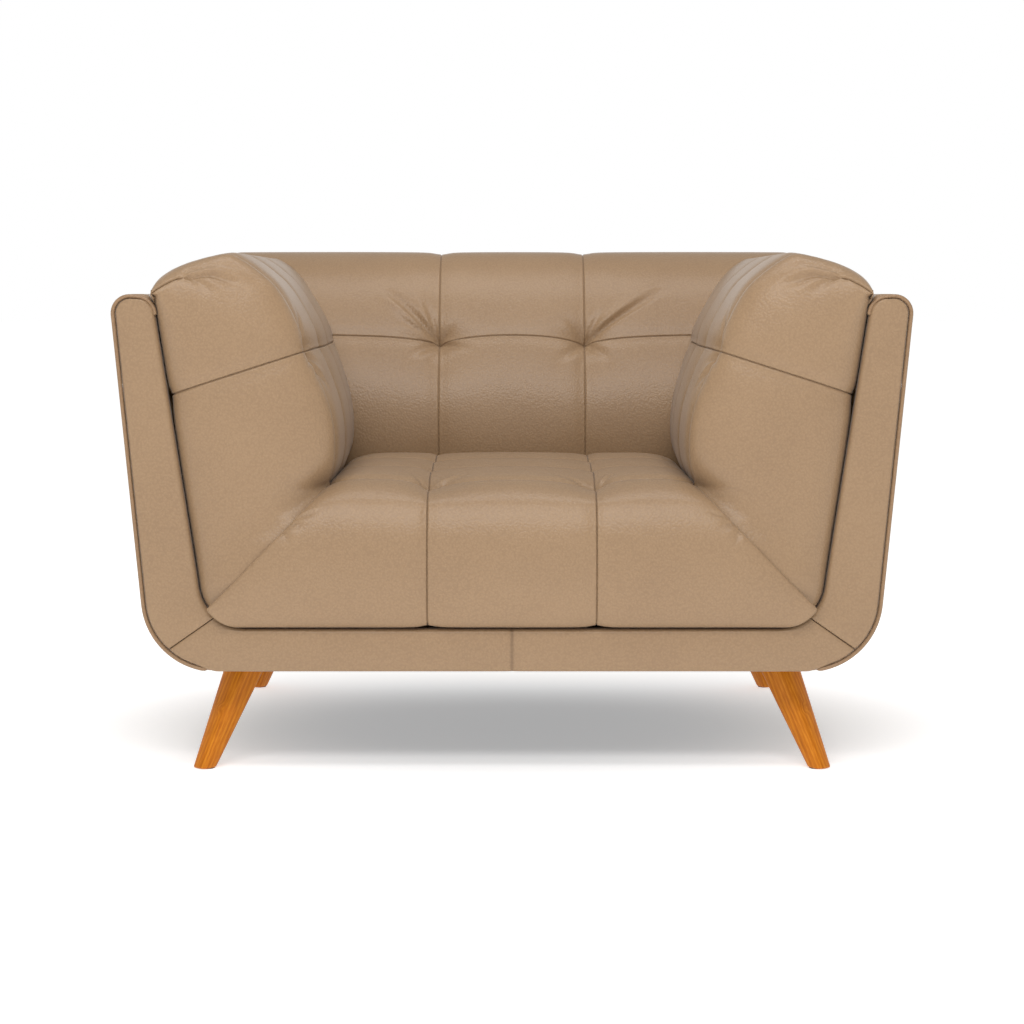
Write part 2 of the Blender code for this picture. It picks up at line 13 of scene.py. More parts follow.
import bmesh
import bpy
import numpy as np
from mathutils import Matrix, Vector


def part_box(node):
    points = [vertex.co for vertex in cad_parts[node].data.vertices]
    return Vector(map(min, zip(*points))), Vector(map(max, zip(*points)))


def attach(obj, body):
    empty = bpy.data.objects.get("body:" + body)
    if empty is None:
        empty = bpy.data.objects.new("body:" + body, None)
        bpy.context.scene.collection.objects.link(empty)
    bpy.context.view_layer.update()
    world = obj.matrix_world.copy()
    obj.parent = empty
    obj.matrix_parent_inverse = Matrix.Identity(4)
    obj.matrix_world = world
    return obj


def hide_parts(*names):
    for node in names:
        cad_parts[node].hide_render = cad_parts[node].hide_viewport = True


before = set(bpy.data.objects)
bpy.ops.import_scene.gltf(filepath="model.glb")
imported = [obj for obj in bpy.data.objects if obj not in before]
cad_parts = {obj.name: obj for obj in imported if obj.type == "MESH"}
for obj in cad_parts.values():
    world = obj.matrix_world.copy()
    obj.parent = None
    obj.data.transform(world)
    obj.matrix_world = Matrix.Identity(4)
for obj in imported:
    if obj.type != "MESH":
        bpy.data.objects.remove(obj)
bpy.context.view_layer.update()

LOG = logging.getLogger("armchair")
BODY = "root"
Array = np.ndarray
Point2 = tuple[float, float]


# ------------------------------------------------------------------ shared sizes, read from the frame
def node_low(node: str) -> Vector:
    """Lowest corner of a CAD node's box."""
    return Vector(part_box(node)[0])


def node_high(node: str) -> Vector:
    """Highest corner of a CAD node's box."""
    return Vector(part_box(node)[1])


def node_middle(node: str) -> Vector:
    """Middle of a CAD node's box."""
    return (node_low(node) + node_high(node)) / 2


@dataclass(frozen=True)
class ShellPlan:
    """The shell's outlines in the XZ plane, as the CAD frame has them."""

    bottom: float = node_low("right_outer_arm").z
    top: float = node_high("right_outer_arm").z
    front: float = node_low("base_border").y
    arm_x: float = 0.585          # half width of the shell, at arm_x_height
    arm_x_height: float = 0.680
    arm_lean: float = 0.0895      # outwards for each metre up
    corner: float = 0.110         # radius of the bottom corner
    top_corner: float = 0.028     # radius over the arm's top
    lip_x: float = 0.520          # half distance between the borders, at lip_height
    lip_height: float = 0.679
    lip_lean: float = 0.147
    lip_corner: float = 0.072
    base_top: float = 0.222       # upper edge of the base border
    rear_bottom: float = 0.408
    rear_top: float = node_high("outer_back").y

    def wall(self, height: float) -> float:
        """Half width of the shell at a height, on its straight part."""
        return self.arm_x + (height - self.arm_x_height) * self.arm_lean

    def lip(self, height: float) -> float:
        """Half distance between the borders' inner edges at a height."""
        return self.lip_x + (height - self.lip_height) * self.lip_lean

    def rear(self, height: float) -> float:
        """Rear face of the outer back at a height."""
        share = (height - self.bottom) / (self.top - self.bottom)
        return self.rear_bottom + (self.rear_top - self.rear_bottom) * share

    @staticmethod
    def arc_centre(radius: float, floor: float, wall_x: float, lean: float) -> Point2:
        """Centre of the arc between a floor line and a wall that stands at wall_x at height 0."""
        height = floor + radius
        return (wall_x + height * lean - radius / math.cos(math.atan(lean)), height)

    def outer_centre(self) -> Point2:
        """Centre of the bottom corner."""
        return self.arc_centre(self.corner, self.bottom, self.wall(0.0), self.arm_lean)

    def inner_centre(self) -> Point2:
        """Centre of the borders' inner corner."""
        return self.arc_centre(self.lip_corner, self.base_top, self.lip(0.0), self.lip_lean)

    def top_centre(self) -> Point2:
        """Centre of the rounding over an arm's top, which meets the leaning wall without a kink."""
        height = self.top - self.top_corner
        return (self.wall(height) - self.top_corner / math.cos(math.atan(self.arm_lean)), height)


PLAN = ShellPlan()
PAD_JOINT = 0.702        # x + z along the sloping joint between the seat and an arm
SEAM_X = 0.1245          # the two seams that run front to back and up the back pad


# ------------------------------------------------------------------ numbers and curves
def smoothstep(low: float, high: float, value: Array) -> Array:
    """0 below low, 1 above high, with a smooth rise between."""
    share = np.clip((value - low) / (high - low), 0.0, 1.0)
    return share * share * (3.0 - 2.0 * share)


def line_mark(distance: Array, width: float) -> Array:
    """1 on a line, fading to 0 within about two widths of it."""
    return np.exp(-((distance / width) ** 2))


def wide_valley(distance: Array, reach: float) -> Array:
    """1 on a line, with the long soft flanks that padding has beside a seam."""
    return 1.0 / (1.0 + (distance / reach) ** 2) ** 1.5


def edge_round(distance: Array, radius: float) -> Array:
    """1 at an edge and 0 from a radius inside it, along a quarter circle."""
    return 1.0 - np.sqrt(np.clip(1.0 - (1.0 - np.clip(distance / radius, 0.0, 1.0)) ** 2, 0.0, 1.0))


def smooth_curve(points: Sequence[Point2], spacing: float = 0.002) -> Array:
    """A dense smooth curve through a few points.

    Args:
        points: The points that the shape needs, in order.
        spacing: Rough distance between the curve's own points.

    Returns:
        Points on the curve, evenly spaced along it.
    """
    knots = np.array(points, dtype=float)
    ends = [2 * knots[0] - knots[1], *knots, 2 * knots[-1] - knots[-2]]
    padded = np.array(ends)
    pieces = []
    for i in range(len(knots) - 1):
        p0, p1, p2, p3 = padded[i:i + 4]
        spans = ((p0, p1), (p1, p2), (p2, p3))
        gap01, gap12, gap23 = (max(np.linalg.norm(b - a), 1e-6) ** 0.5 for a, b in spans)
        slope1 = ((p1 - p0) / gap01 - (p2 - p0) / (gap01 + gap12) + (p2 - p1) / gap12) * gap12
        slope2 = ((p2 - p1) / gap12 - (p3 - p1) / (gap12 + gap23) + (p3 - p2) / gap23) * gap12
        t = np.linspace(0.0, 1.0, 24, endpoint=False)[:, None]
        pieces.append((2 * t**3 - 3 * t**2 + 1) * p1 + (t**3 - 2 * t**2 + t) * slope1
                      + (-2 * t**3 + 3 * t**2) * p2 + (t**3 - t**2) * slope2)
    dense = np.vstack([*pieces, knots[-1:]])
    length = np.concatenate([[0.0], np.cumsum(np.linalg.norm(np.diff(dense, axis=0), axis=1))])
    even = np.linspace(0.0, length[-1], max(int(length[-1] / spacing), 8))
    return np.column_stack([np.interp(even, length, dense[:, k]) for k in range(2)])


@dataclass
class Profile:
    """A smooth outline with its own arc length, so that seams sit at real distances along it."""

    points: Array
    length: Array = field(init=False)

    def __post_init__(self) -> None:
        """Measure the outline."""
        steps = np.linalg.norm(np.diff(self.points, axis=0), axis=1)
        self.length = np.concatenate([[0.0], np.cumsum(steps)])

    @property
    def total(self) -> float:
        """Whole arc length."""
        return float(self.length[-1])

    def at(self, distance: Array) -> tuple[Array, Array]:
        """Both coordinates at distances along the outline."""
        return tuple(np.interp(distance, self.length, self.points[:, k]) for k in range(2))

    def nearest(self, target: Point2) -> float:
        """Distance along the outline of its point nearest to a target."""
        gap = np.linalg.norm(self.points - np.array(target), axis=1)
        return float(self.length[int(np.argmin(gap))])


FINE_OFFSETS = (0.0005, 0.0010, 0.0016, 0.0024, 0.0038)   # of the grid lines beside a seam


def graded_lines(start: float, end: float, seams: Sequence[float], coarse: float) -> Array:
    """Grid lines that crowd round each seam, so that its groove is crisp.

    Args:
        start: First line.
        end: Last line.
        seams: Places of the seams between start and end.
        coarse: Spacing away from the seams.

    Returns:
        Increasing line positions.
    """
    stops = [start, *sorted(s for s in seams if start < s < end), end]
    lines = {round(start, 6), round(end, 6)}
    for low, high in zip(stops, stops[1:]):
        after = [low + offset for offset in FINE_OFFSETS if low in seams]
        before = [high - offset for offset in FINE_OFFSETS if high in seams]
        lines.update(round(x, 6) for x in after + before if low < x < high)
        margin_low = FINE_OFFSETS[-1] if low in seams else 0.0
        margin_high = FINE_OFFSETS[-1] if high in seams else 0.0
        span = (high - margin_high) - (low + margin_low)
        count = max(int(math.ceil(span / coarse)), 1)
        lines.update(round(low + margin_low + span * k / count, 6) for k in range(count + 1))
        lines.update((round(low, 6), round(high, 6)))
    return np.array(sorted(lines))


# ------------------------------------------------------------------ stitching on a padded surface
@dataclass(frozen=True)
class Seam:
    """A stitched line at a constant distance along one side of a grid."""

    place: float
    valley: float = 0.005         # how far the padding is drawn in along the seam
    reach: float = 0.022          # half width of that valley
    groove: float = 0.0022        # depth of the sewn line itself
    start: float = -10.0          # where along the other side the seam begins and ends
    stop: float = 10.0


@dataclass(frozen=True)
class Tuft:
    """A point where twine pulls the leather in."""

    u: float
    v: float
    depth: float = 0.018
    reach: float = 0.034


@dataclass(frozen=True)
class Crease:
    """A fold that runs out from a tuft or a tight corner."""

    u: float
    v: float
    angle: float                  # degrees from +u towards +v
    length: float = 0.06
    depth: float = 0.003
    width: float = 0.006


@dataclass(frozen=True)
class Dart:
    """A short stitched line that runs slantwise from a tip to the leather's edge."""

    tip: Point2
    end: Point2
    valley: float = 0.0030
    reach: float = 0.0080
    groove: float = 0.0030
    bow: float = 0.0                     # how far the middle of the line bows to one side

    def across(self, u: Array, v: Array) -> tuple[Array, Array]:
        """Distance from the line, and 1 along its length fading to 0 past its tip."""
        run = np.array(self.end) - np.array(self.tip)
        length = float(np.linalg.norm(run))
        run = run / length
        along = (u - self.tip[0]) * run[0] + (v - self.tip[1]) * run[1]
        away = (u - self.tip[0]) * run[1] - (v - self.tip[1]) * run[0]
        share = np.clip(along / length, 0.0, 1.0)
        away = away - 4 * self.bow * share * (1 - share)
        return away, smoothstep(-0.006, 0.012, along) * (1 - smoothstep(length, length + 0.006, along))


TUFT_HEART = 0.002       # radius of the rounded bottom of a tuft
SEAM_FADE = 0.012        # length over which a seam dies out past its end


@dataclass
class Sewing:
    """All the stitched detail of one padded surface."""

    across: list[Seam] = field(default_factory=list)      # seams at a constant u
    along: list[Seam] = field(default_factory=list)       # seams at a constant v
    tufts: list[Tuft] = field(default_factory=list)
    creases: list[Crease] = field(default_factory=list)
    darts: list[Dart] = field(default_factory=list)

    @staticmethod
    def _seam(distance: Array, other: Array, seam: Seam) -> Array:
        """Depth that one seam gives."""
        inside = Sewing._extent(other, seam)
        valley = seam.valley * wide_valley(distance, seam.reach)
        groove = seam.groove * line_mark(distance, 0.0010)
        # the leather stands up a little beside the stitches
        raised = 0.20 * seam.groove * line_mark(np.abs(distance) - 0.0028, 0.0013)
        return inside * (valley + groove - raised)

    @staticmethod
    def _extent(other: Array, seam: Seam) -> Array:
        """1 along a seam's length, fading to 0 past its ends."""
        begun = smoothstep(seam.start - SEAM_FADE, seam.start, other)
        ended = smoothstep(seam.stop, seam.stop + SEAM_FADE, other)
        return begun * (1 - ended)

    def seam_dye_and_shade_line(self, u: Array, v: Array) -> Array:
        """1 on the stitched lines and in the tufts' hearts, and 0 elsewhere: a mask that darkens the leather
        partly for dye in the stitch holes and partly as painted shade in these hollows.
        """
        mask = np.zeros_like(u)
        for seam in self.across:
            mask = np.maximum(mask, self._extent(v, seam) * line_mark(u - seam.place, 0.0008))
        for seam in self.along:
            mask = np.maximum(mask, self._extent(u, seam) * line_mark(v - seam.place, 0.0010))
        for tuft in self.tufts:
            # painted shade: the tufts' hearts are marked to be darkened like the stitched lines
            mask = np.maximum(mask, 0.9 * np.exp(-np.hypot(u - tuft.u, v - tuft.v) / 0.0035))
        for dart in self.darts:
            away, inside = dart.across(u, v)
            mask = np.maximum(mask, inside * line_mark(away, 0.0018))
        return mask

    def padding_depth(self, u: Array, v: Array) -> Array:
        """How far tufts, seams and creases draw the surface in, at grid positions in metres."""
        depth = np.zeros_like(u)
        for seam in self.across:
            depth += self._seam(u - seam.place, v, seam)
        for seam in self.along:
            depth += self._seam(v - seam.place, u, seam)
        for tuft in self.tufts:
            distance = np.hypot(u - tuft.u, v - tuft.v)
            depth += tuft.depth * np.exp(-np.hypot(distance, TUFT_HEART) / tuft.reach)
        for crease in self.creases:
            depth += self._crease(u, v, crease)
        for dart in self.darts:
            away, inside = dart.across(u, v)
            drawn = dart.valley * line_mark(away, dart.reach) + dart.groove * line_mark(away, 0.0016)
            depth += inside * drawn
        return depth

    @staticmethod
    def _crease(u: Array, v: Array, crease: Crease) -> Array:
        """Depth that one crease gives: a valley with a soft ridge beside it."""
        angle = math.radians(crease.angle)
        run = (u - crease.u) * math.cos(angle) + (v - crease.v) * math.sin(angle)
        side = -(u - crease.u) * math.sin(angle) + (v - crease.v) * math.cos(angle)
        share = np.clip(run / crease.length, 0.0, 1.0)
        fade = np.sin(np.pi * share**0.55) ** 1.2 * (run > 0)
        width = crease.width * (0.45 + 0.9 * share)
        valley = line_mark(side, width)
        ridge = line_mark(side - 1.9 * width, 1.3 * width)
        return crease.depth * fade * (valley - 0.55 * ridge)


# ------------------------------------------------------------------ meshes
def new_piece(name: str, mesh: bpy.types.Mesh) -> bpy.types.Object:
    """Link a mesh to the scene as a piece at the origin."""
    piece = bpy.data.objects.new(name, mesh)
    bpy.context.scene.collection.objects.link(piece)
    return piece


def grid_normals(points: Array) -> Array:
    """Unit normals of a grid of points, by differences along both of its sides."""
    along_u = np.gradient(points, axis=0)
    along_v = np.gradient(points, axis=1)
    normal = np.cross(along_u, along_v)
    size = np.linalg.norm(normal, axis=2, keepdims=True)
    return normal / np.maximum(size, 1e-12)


class Loop(Enum):
    """Which side of a grid joins up with itself."""

    U = "u"
    V = "v"
    NONE = "none"


def grid_piece(name: str, points: Array, flip: bool, loop: Loop = Loop.NONE,
               seam_dye_and_shade: Array | None = None) -> bpy.types.Object:
    """A piece from a grid of points.

    Args:
        name: The piece's name.
        points: Grid of shape (columns, rows, 3).
        flip: Whether the faces have to be turned round to point outwards.
        loop: Which side of the grid closes on itself; the other side's two ends are then capped.
        seam_dye_and_shade: Grid of shape (columns, rows) that marks the stitched lines, for the leather,
            which is darkened there partly for dye and partly as painted shade.

    Returns:
        The new object.
    """
    columns, rows, _ = points.shape
    index = np.arange(columns * rows).reshape(columns, rows)
    joined = index
    if loop is Loop.U:
        joined = np.concatenate([index, index[:1]], axis=0)
    elif loop is Loop.V:
        joined = np.concatenate([index, index[:, :1]], axis=1)
    quads = np.stack([joined[:-1, :-1], joined[1:, :-1], joined[1:, 1:], joined[:-1, 1:]], axis=-1)
    faces = quads.reshape(-1, 4).tolist()
    if loop is Loop.U:
        faces += [index[::-1, 0].tolist(), index[:, -1].tolist()]
    elif loop is Loop.V:
        faces += [index[0, :].tolist(), index[-1, ::-1].tolist()]
    if flip:
        faces = [face[::-1] for face in faces]
    mesh = bpy.data.meshes.new(name)
    mesh.from_pydata(points.reshape(-1, 3).tolist(), [], faces)
    mesh.update()
    mesh.shade_smooth()
    if seam_dye_and_shade is not None:
        mark = mesh.attributes.new("seam_dye_and_shade", "FLOAT", "POINT")
        mark.data.foreach_set("value", seam_dye_and_shade.reshape(-1).astype(np.float32))
    return new_piece(name, mesh)


def mirrored(points: Array) -> Array:
    """The same grid on the other side of the chair."""
    return points * np.array([-1.0, 1.0, 1.0])


def resample(coarse: Array, columns: Array, rows: Array) -> Array:
    """Read a coarse grid at fractional positions with a smooth cubic fit.

    Args:
        coarse: Grid of shape (n, m, 3).
        columns: Fractional column positions, from 0 to n - 1.
        rows: Fractional row positions, from 0 to m - 1.

    Returns:
        Grid of shape (len(columns), len(rows), 3).
    """
    def weights(position: Array, size: int) -> tuple[Array, Array]:
        """Four neighbours and their cubic weights for each position."""
        base = np.clip(np.floor(position).astype(int), 0, size - 2)
        t = position - base
        part = np.stack([-0.5 * t + t**2 - 0.5 * t**3, 1 - 2.5 * t**2 + 1.5 * t**3,
                         0.5 * t + 2 * t**2 - 1.5 * t**3, -0.5 * t**2 + 0.5 * t**3], axis=1)
        near = np.clip(base[:, None] + np.arange(-1, 3)[None, :], 0, size - 1)
        return near, part

    near_u, part_u = weights(columns, coarse.shape[0])
    near_v, part_v = weights(rows, coarse.shape[1])
    half = np.einsum("aimc,ai->amc", coarse[near_u], part_u)
    return np.einsum("abjc,bj->abc", half[:, near_v], part_v)


@dataclass(frozen=True)
class Stuffing:
    """Cloth settings that fill a padded surface."""

    pressure: float = 4.0
    frames: int = 20
    cap: float = 0.006            # furthest that a point may move
    spacing: float = 0.014        # grid spacing while it is simulated
    stiffness: float = 25.0
    bending: float = 2.0
    mass: float = 0.4             # of each grid point
    steps: int = 6                # solver steps in a frame

    def swell(self, points: Array, held: Array) -> Array:
        """Let pressure and the leather's pull move the free points of a grid.

        Args:
            points: Grid of shape (n, m, 3), faces outwards.
            held: Grid of shape (n, m): 1 where twine, seams or edges hold the leather.

        Returns:
            How far each point moved, capped.
        """
        piece = grid_piece("stuffing", points, flip=False)
        group = piece.vertex_groups.new(name="held")
        for i, weight in enumerate(held.reshape(-1)):
            if weight > 0.001:
                group.add([i], float(weight), "REPLACE")
        cloth = piece.modifiers.new("cloth", "CLOTH")
        settings = cloth.settings
        settings.quality = self.steps
        settings.mass = self.mass
        settings.tension_stiffness = settings.compression_stiffness = self.stiffness
        settings.shear_stiffness = self.stiffness * 0.5
        settings.bending_stiffness = self.bending
        settings.use_pressure = True
        settings.uniform_pressure_force = self.pressure
        settings.vertex_group_mass = "held"
        settings.pin_stiffness = 1.0
        settings.effector_weights.gravity = 0.0
        cloth.point_cache.frame_start = 1
        cloth.point_cache.frame_end = self.frames
        scene = bpy.context.scene
        for number in range(1, self.frames + 1):
            scene.frame_set(number)
        result = piece.evaluated_get(bpy.context.evaluated_depsgraph_get()).data
        moved = np.empty(len(result.vertices) * 3, dtype=float)
        result.vertices.foreach_get("co", moved)
        move = moved.reshape(points.shape) - points
        bpy.data.objects.remove(piece, do_unlink=True)
        scene.frame_set(1)
        size = np.linalg.norm(move, axis=2, keepdims=True)
        return move * np.minimum(1.0, self.cap / np.maximum(size, 1e-9))


@dataclass
class PaddedSurface:
    """A padded leather surface over a grid of distances u and v, in metres.

    Its shape is a rule, point(u, v); its sewing draws it in; its stuffing swells it.
    """

    shape: Callable[[Array, Array], Array]
    u_range: Point2
    v_range: Point2
    sewing: Sewing
    coarse: float = 0.0048
    stuffing: Stuffing | None = None
    outward: float = 1.0          # 1 where u cross v points outwards

    def _drawn_in(self, u: Array, v: Array) -> Array:
        """Grid points with the sewing's depth taken off along the normals."""
        uu, vv = np.meshgrid(u, v, indexing="ij")
        base = self.shape(uu, vv)
        normal = grid_normals(base) * self.outward
        return base - normal * self.sewing.padding_depth(uu, vv)[..., None]

    def _swelling(self, u: Array, v: Array) -> Array | None:
        """Movement of the stuffed leather, read at the fine grid's lines."""
        if self.stuffing is None:
            return None
        spacing = self.stuffing.spacing
        count_u = int((self.u_range[1] - self.u_range[0]) / spacing) + 1
        count_v = int((self.v_range[1] - self.v_range[0]) / spacing) + 1
        coarse_u = np.linspace(*self.u_range, count_u)
        coarse_v = np.linspace(*self.v_range, count_v)
        order = slice(None, None, 1 if self.outward > 0 else -1)      # so that pressure pushes outwards
        points = self._drawn_in(coarse_u, coarse_v)[:, order]
        held = self._held(coarse_u, coarse_v)[:, order]
        move = self.stuffing.swell(points, held)[:, order]
        columns = (u - self.u_range[0]) / (self.u_range[1] - self.u_range[0]) * (count_u - 1)
        rows = (v - self.v_range[0]) / (self.v_range[1] - self.v_range[0]) * (count_v - 1)
        return resample(move, columns, rows)

    def _held(self, u: Array, v: Array) -> Array:
        """1 where edges, seams and tufts hold the leather while it is stuffed."""
        uu, vv = np.meshgrid(u, v, indexing="ij")
        held = np.zeros_like(uu)
        half = self.stuffing.spacing * 0.6
        for seam in self.sewing.across:
            near = (np.abs(uu - seam.place) < half) & (vv > seam.start) & (vv < seam.stop)
            held[near] = 1.0
        for seam in self.sewing.along:
            near = (np.abs(vv - seam.place) < half) & (uu > seam.start) & (uu < seam.stop)
            held[near] = 1.0
        held[:2, :] = held[-2:, :] = held[:, :2] = held[:, -2:] = 1.0
        return held

    @staticmethod
    def _finer(lines: Array, low: float, high: float, step: float = 0.0015) -> Array:
        """The same grid lines with closer ones between two places."""
        margin, least_gap = 0.004, 0.0005
        extra = np.arange(low - margin, high + margin, step)
        extra = extra[(extra > lines[0]) & (extra < lines[-1])]
        outside = (lines < extra[0] - least_gap) | (lines > extra[-1] + least_gap)
        kept = lines[outside | np.isin(lines, (lines[0], lines[-1]))]
        return np.unique(np.concatenate([kept, extra]))

    def points(self) -> tuple[Array, Array]:
        """The finished grid of points, and the marks of its stitched lines, where the leather is darkened for
        dye and painted shade.
        """
        u = graded_lines(*self.u_range, [s.place for s in self.sewing.across], self.coarse)
        v = graded_lines(*self.v_range, [s.place for s in self.sewing.along], self.coarse)
        for dart in self.sewing.darts:
            u = self._finer(u, dart.end[0], dart.tip[0])
            v = self._finer(v, *sorted((dart.tip[1], dart.end[1])))
        grid = self._drawn_in(u, v)
        move = self._swelling(u, v)
        seam_dye_and_shade = self.sewing.seam_dye_and_shade_line(*np.meshgrid(u, v, indexing="ij"))
        return (grid if move is None else grid + move), seam_dye_and_shade


# ------------------------------------------------------------------ node building
def linear_colour(hex_code: str) -> tuple[float, float, float, float]:
    """An sRGB hex colour as a linear RGBA colour."""
    channels = [int(hex_code[i:i + 2], 16) / 255.0 for i in (0, 2, 4)]
    linear = [c / 12.92 if c <= 0.04045 else ((c + 0.055) / 1.055) ** 2.4 for c in channels]
    return (*linear, 1.0)


def add_node(tree: bpy.types.NodeTree, kind: str, settings: dict | None = None,
             inputs: dict | None = None) -> bpy.types.Node:
    """Add a node with its settings, and set or link its inputs.

    Args:
        tree: The node tree.
        kind: The node's type name.
        settings: Attributes to set on the node.
        inputs: Input name or number to a value, or to an output socket to link.

    Returns:
        The new node.
    """
    node = tree.nodes.new(kind)
    for name, value in (settings or {}).items():
        setattr(node, name, value)
    for key, value in (inputs or {}).items():
        if isinstance(value, bpy.types.NodeSocket):
            tree.links.new(value, node.inputs[key])
        else:
            node.inputs[key].default_value = value
    return node


def blank_material(name: str) -> tuple[bpy.types.Material, bpy.types.NodeTree, bpy.types.Node]:
    """A material with an empty Principled shader, its tree and the shader."""
    material = bpy.data.materials.new(name)
    material.use_nodes = True
    return material, material.node_tree, material.node_tree.nodes["Principled BSDF"]


def colour_ramp(tree: bpy.types.NodeTree, fac: bpy.types.NodeSocket,
                stops: Sequence[tuple[float, str]]) -> bpy.types.NodeSocket:
    """A colour ramp over sRGB hex stops; returns its colour output."""
    ramp = add_node(tree, "ShaderNodeValToRGB", inputs={"Fac": fac})
    elements = ramp.color_ramp.elements
    while len(elements) < len(stops):
        elements.new(0.5)
    for element, (place, code) in zip(elements, stops):
        element.position = place
        element.color = linear_colour(code)
    return ramp.outputs["Color"]


@dataclass(frozen=True)
class PebbledLeather:
    """Full-grain cowhide with a drummed pebble grain and a satin pigment finish.

    The drumming raises rounded pebbles with fine valleys, so highlights are broad and slightly broken,
    and the dye lies a little darker in the valleys.
    """

    name: str = "tan_pebbled_leather"
    light: str = "9c8062"
    mid: str = "92775a"
    deep: str = "856b51"
    seam_dye_and_shade: str = "4a3626"          # dye in the stitched lines, and painted shade in them, in the tufts' hearts and along the borders' edges
    seam_dye_and_shade_strength: float = 0.42
    pebble_mm: float = 3.4        # large drummed pebbles, which show at a distance
    roughness: float = 0.35

    def make(self) -> bpy.types.Material:
        """Build the material."""
        material, tree, shader = blank_material(self.name)
        place = add_node(tree, "ShaderNodeTexCoord").outputs["Object"]
        warp = add_node(tree, "ShaderNodeTexNoise", inputs={"Vector": place, "Scale": 90.0, "Detail": 2.0})
        bent = add_node(tree, "ShaderNodeVectorMath", {"operation": "MULTIPLY_ADD"},
                        {0: warp.outputs["Color"], 1: (0.004, 0.004, 0.004), 2: place})
        pebbles = add_node(tree, "ShaderNodeTexVoronoi", {"feature": "SMOOTH_F1"},
                           {"Vector": bent.outputs[0], "Scale": 1000.0 / self.pebble_mm, "Smoothness": 0.55})
        fine = add_node(tree, "ShaderNodeTexNoise",
                        inputs={"Vector": place, "Scale": 1000.0, "Detail": 3.0, "Roughness": 0.6})
        cloud = add_node(tree, "ShaderNodeTexNoise",
                         inputs={"Vector": place, "Scale": 7.0, "Detail": 4.0, "Roughness": 0.55})
        tone = add_node(tree, "ShaderNodeMapRange",
                        inputs={"Value": pebbles.outputs["Distance"], "From Min": 0.05, "From Max": 0.70,
                                "To Min": 0.60, "To Max": 0.34})
        mixed = add_node(tree, "ShaderNodeMath", {"operation": "MULTIPLY_ADD"},
                         {0: cloud.outputs["Fac"], 1: 0.30, 2: tone.outputs["Result"]})
        shifted = add_node(tree, "ShaderNodeMath", {"operation": "SUBTRACT"}, {0: mixed.outputs[0], 1: 0.14})
        tones = [(0.15, self.deep), (0.5, self.mid), (0.85, self.light)]
        colour = colour_ramp(tree, shifted.outputs[0], tones)
        # painted shade: the marked lines, tufts' hearts and border edges are mixed towards dark brown, partly
        # for dye and partly for the shade in these hollows
        marks = add_node(tree, "ShaderNodeAttribute", {"attribute_name": "seam_dye_and_shade"})
        seam_dye_and_shade = add_node(tree, "ShaderNodeMath", {"operation": "MULTIPLY"},
                        {0: marks.outputs["Fac"], 1: self.seam_dye_and_shade_strength})
        dyed_and_shaded = add_node(tree, "ShaderNodeMix", {"data_type": "RGBA"},
                        {"Factor": seam_dye_and_shade.outputs[0], 6: colour, 7: linear_colour(self.seam_dye_and_shade)})
        tree.links.new(dyed_and_shaded.outputs[2], shader.inputs["Base Color"])
        gloss = add_node(tree, "ShaderNodeMapRange",
                         inputs={"Value": fine.outputs["Fac"], "From Min": 0.3, "From Max": 0.7,
                                 "To Min": self.roughness - 0.05, "To Max": self.roughness + 0.07})
        tree.links.new(gloss.outputs["Result"], shader.inputs["Roughness"])
        height = add_node(tree, "ShaderNodeMath", {"operation": "MULTIPLY_ADD"},
                          {0: pebbles.outputs["Distance"], 1: -1.0, 2: 1.0})
        bump = add_node(tree, "ShaderNodeBump",
                        inputs={"Height": height.outputs[0], "Strength": 0.6, "Distance": 0.0006})
        tree.links.new(bump.outputs["Normal"], shader.inputs["Normal"])
        shader.inputs["Specular IOR Level"].default_value = 0.36
        shader.inputs["IOR"].default_value = 1.47
        shader.inputs["Sheen Weight"].default_value = 0.10
        shader.inputs["Sheen Roughness"].default_value = 0.45
        return material


class TimberLook(Enum):
    """The sorts of timber in the chair, as (name, light, mid, dark, roughness)."""

    HONEY_LEG = ("honey_stained_rubberwood", "ce811e", "b8680f", "9e5609", 0.42)
    BEECH = ("sawn_beech", "d8b58a", "cba878", "b8905f", 0.68)
    PLYWOOD = ("birch_plywood", "e0c59c", "d2b488", "bd9c6f", 0.72)


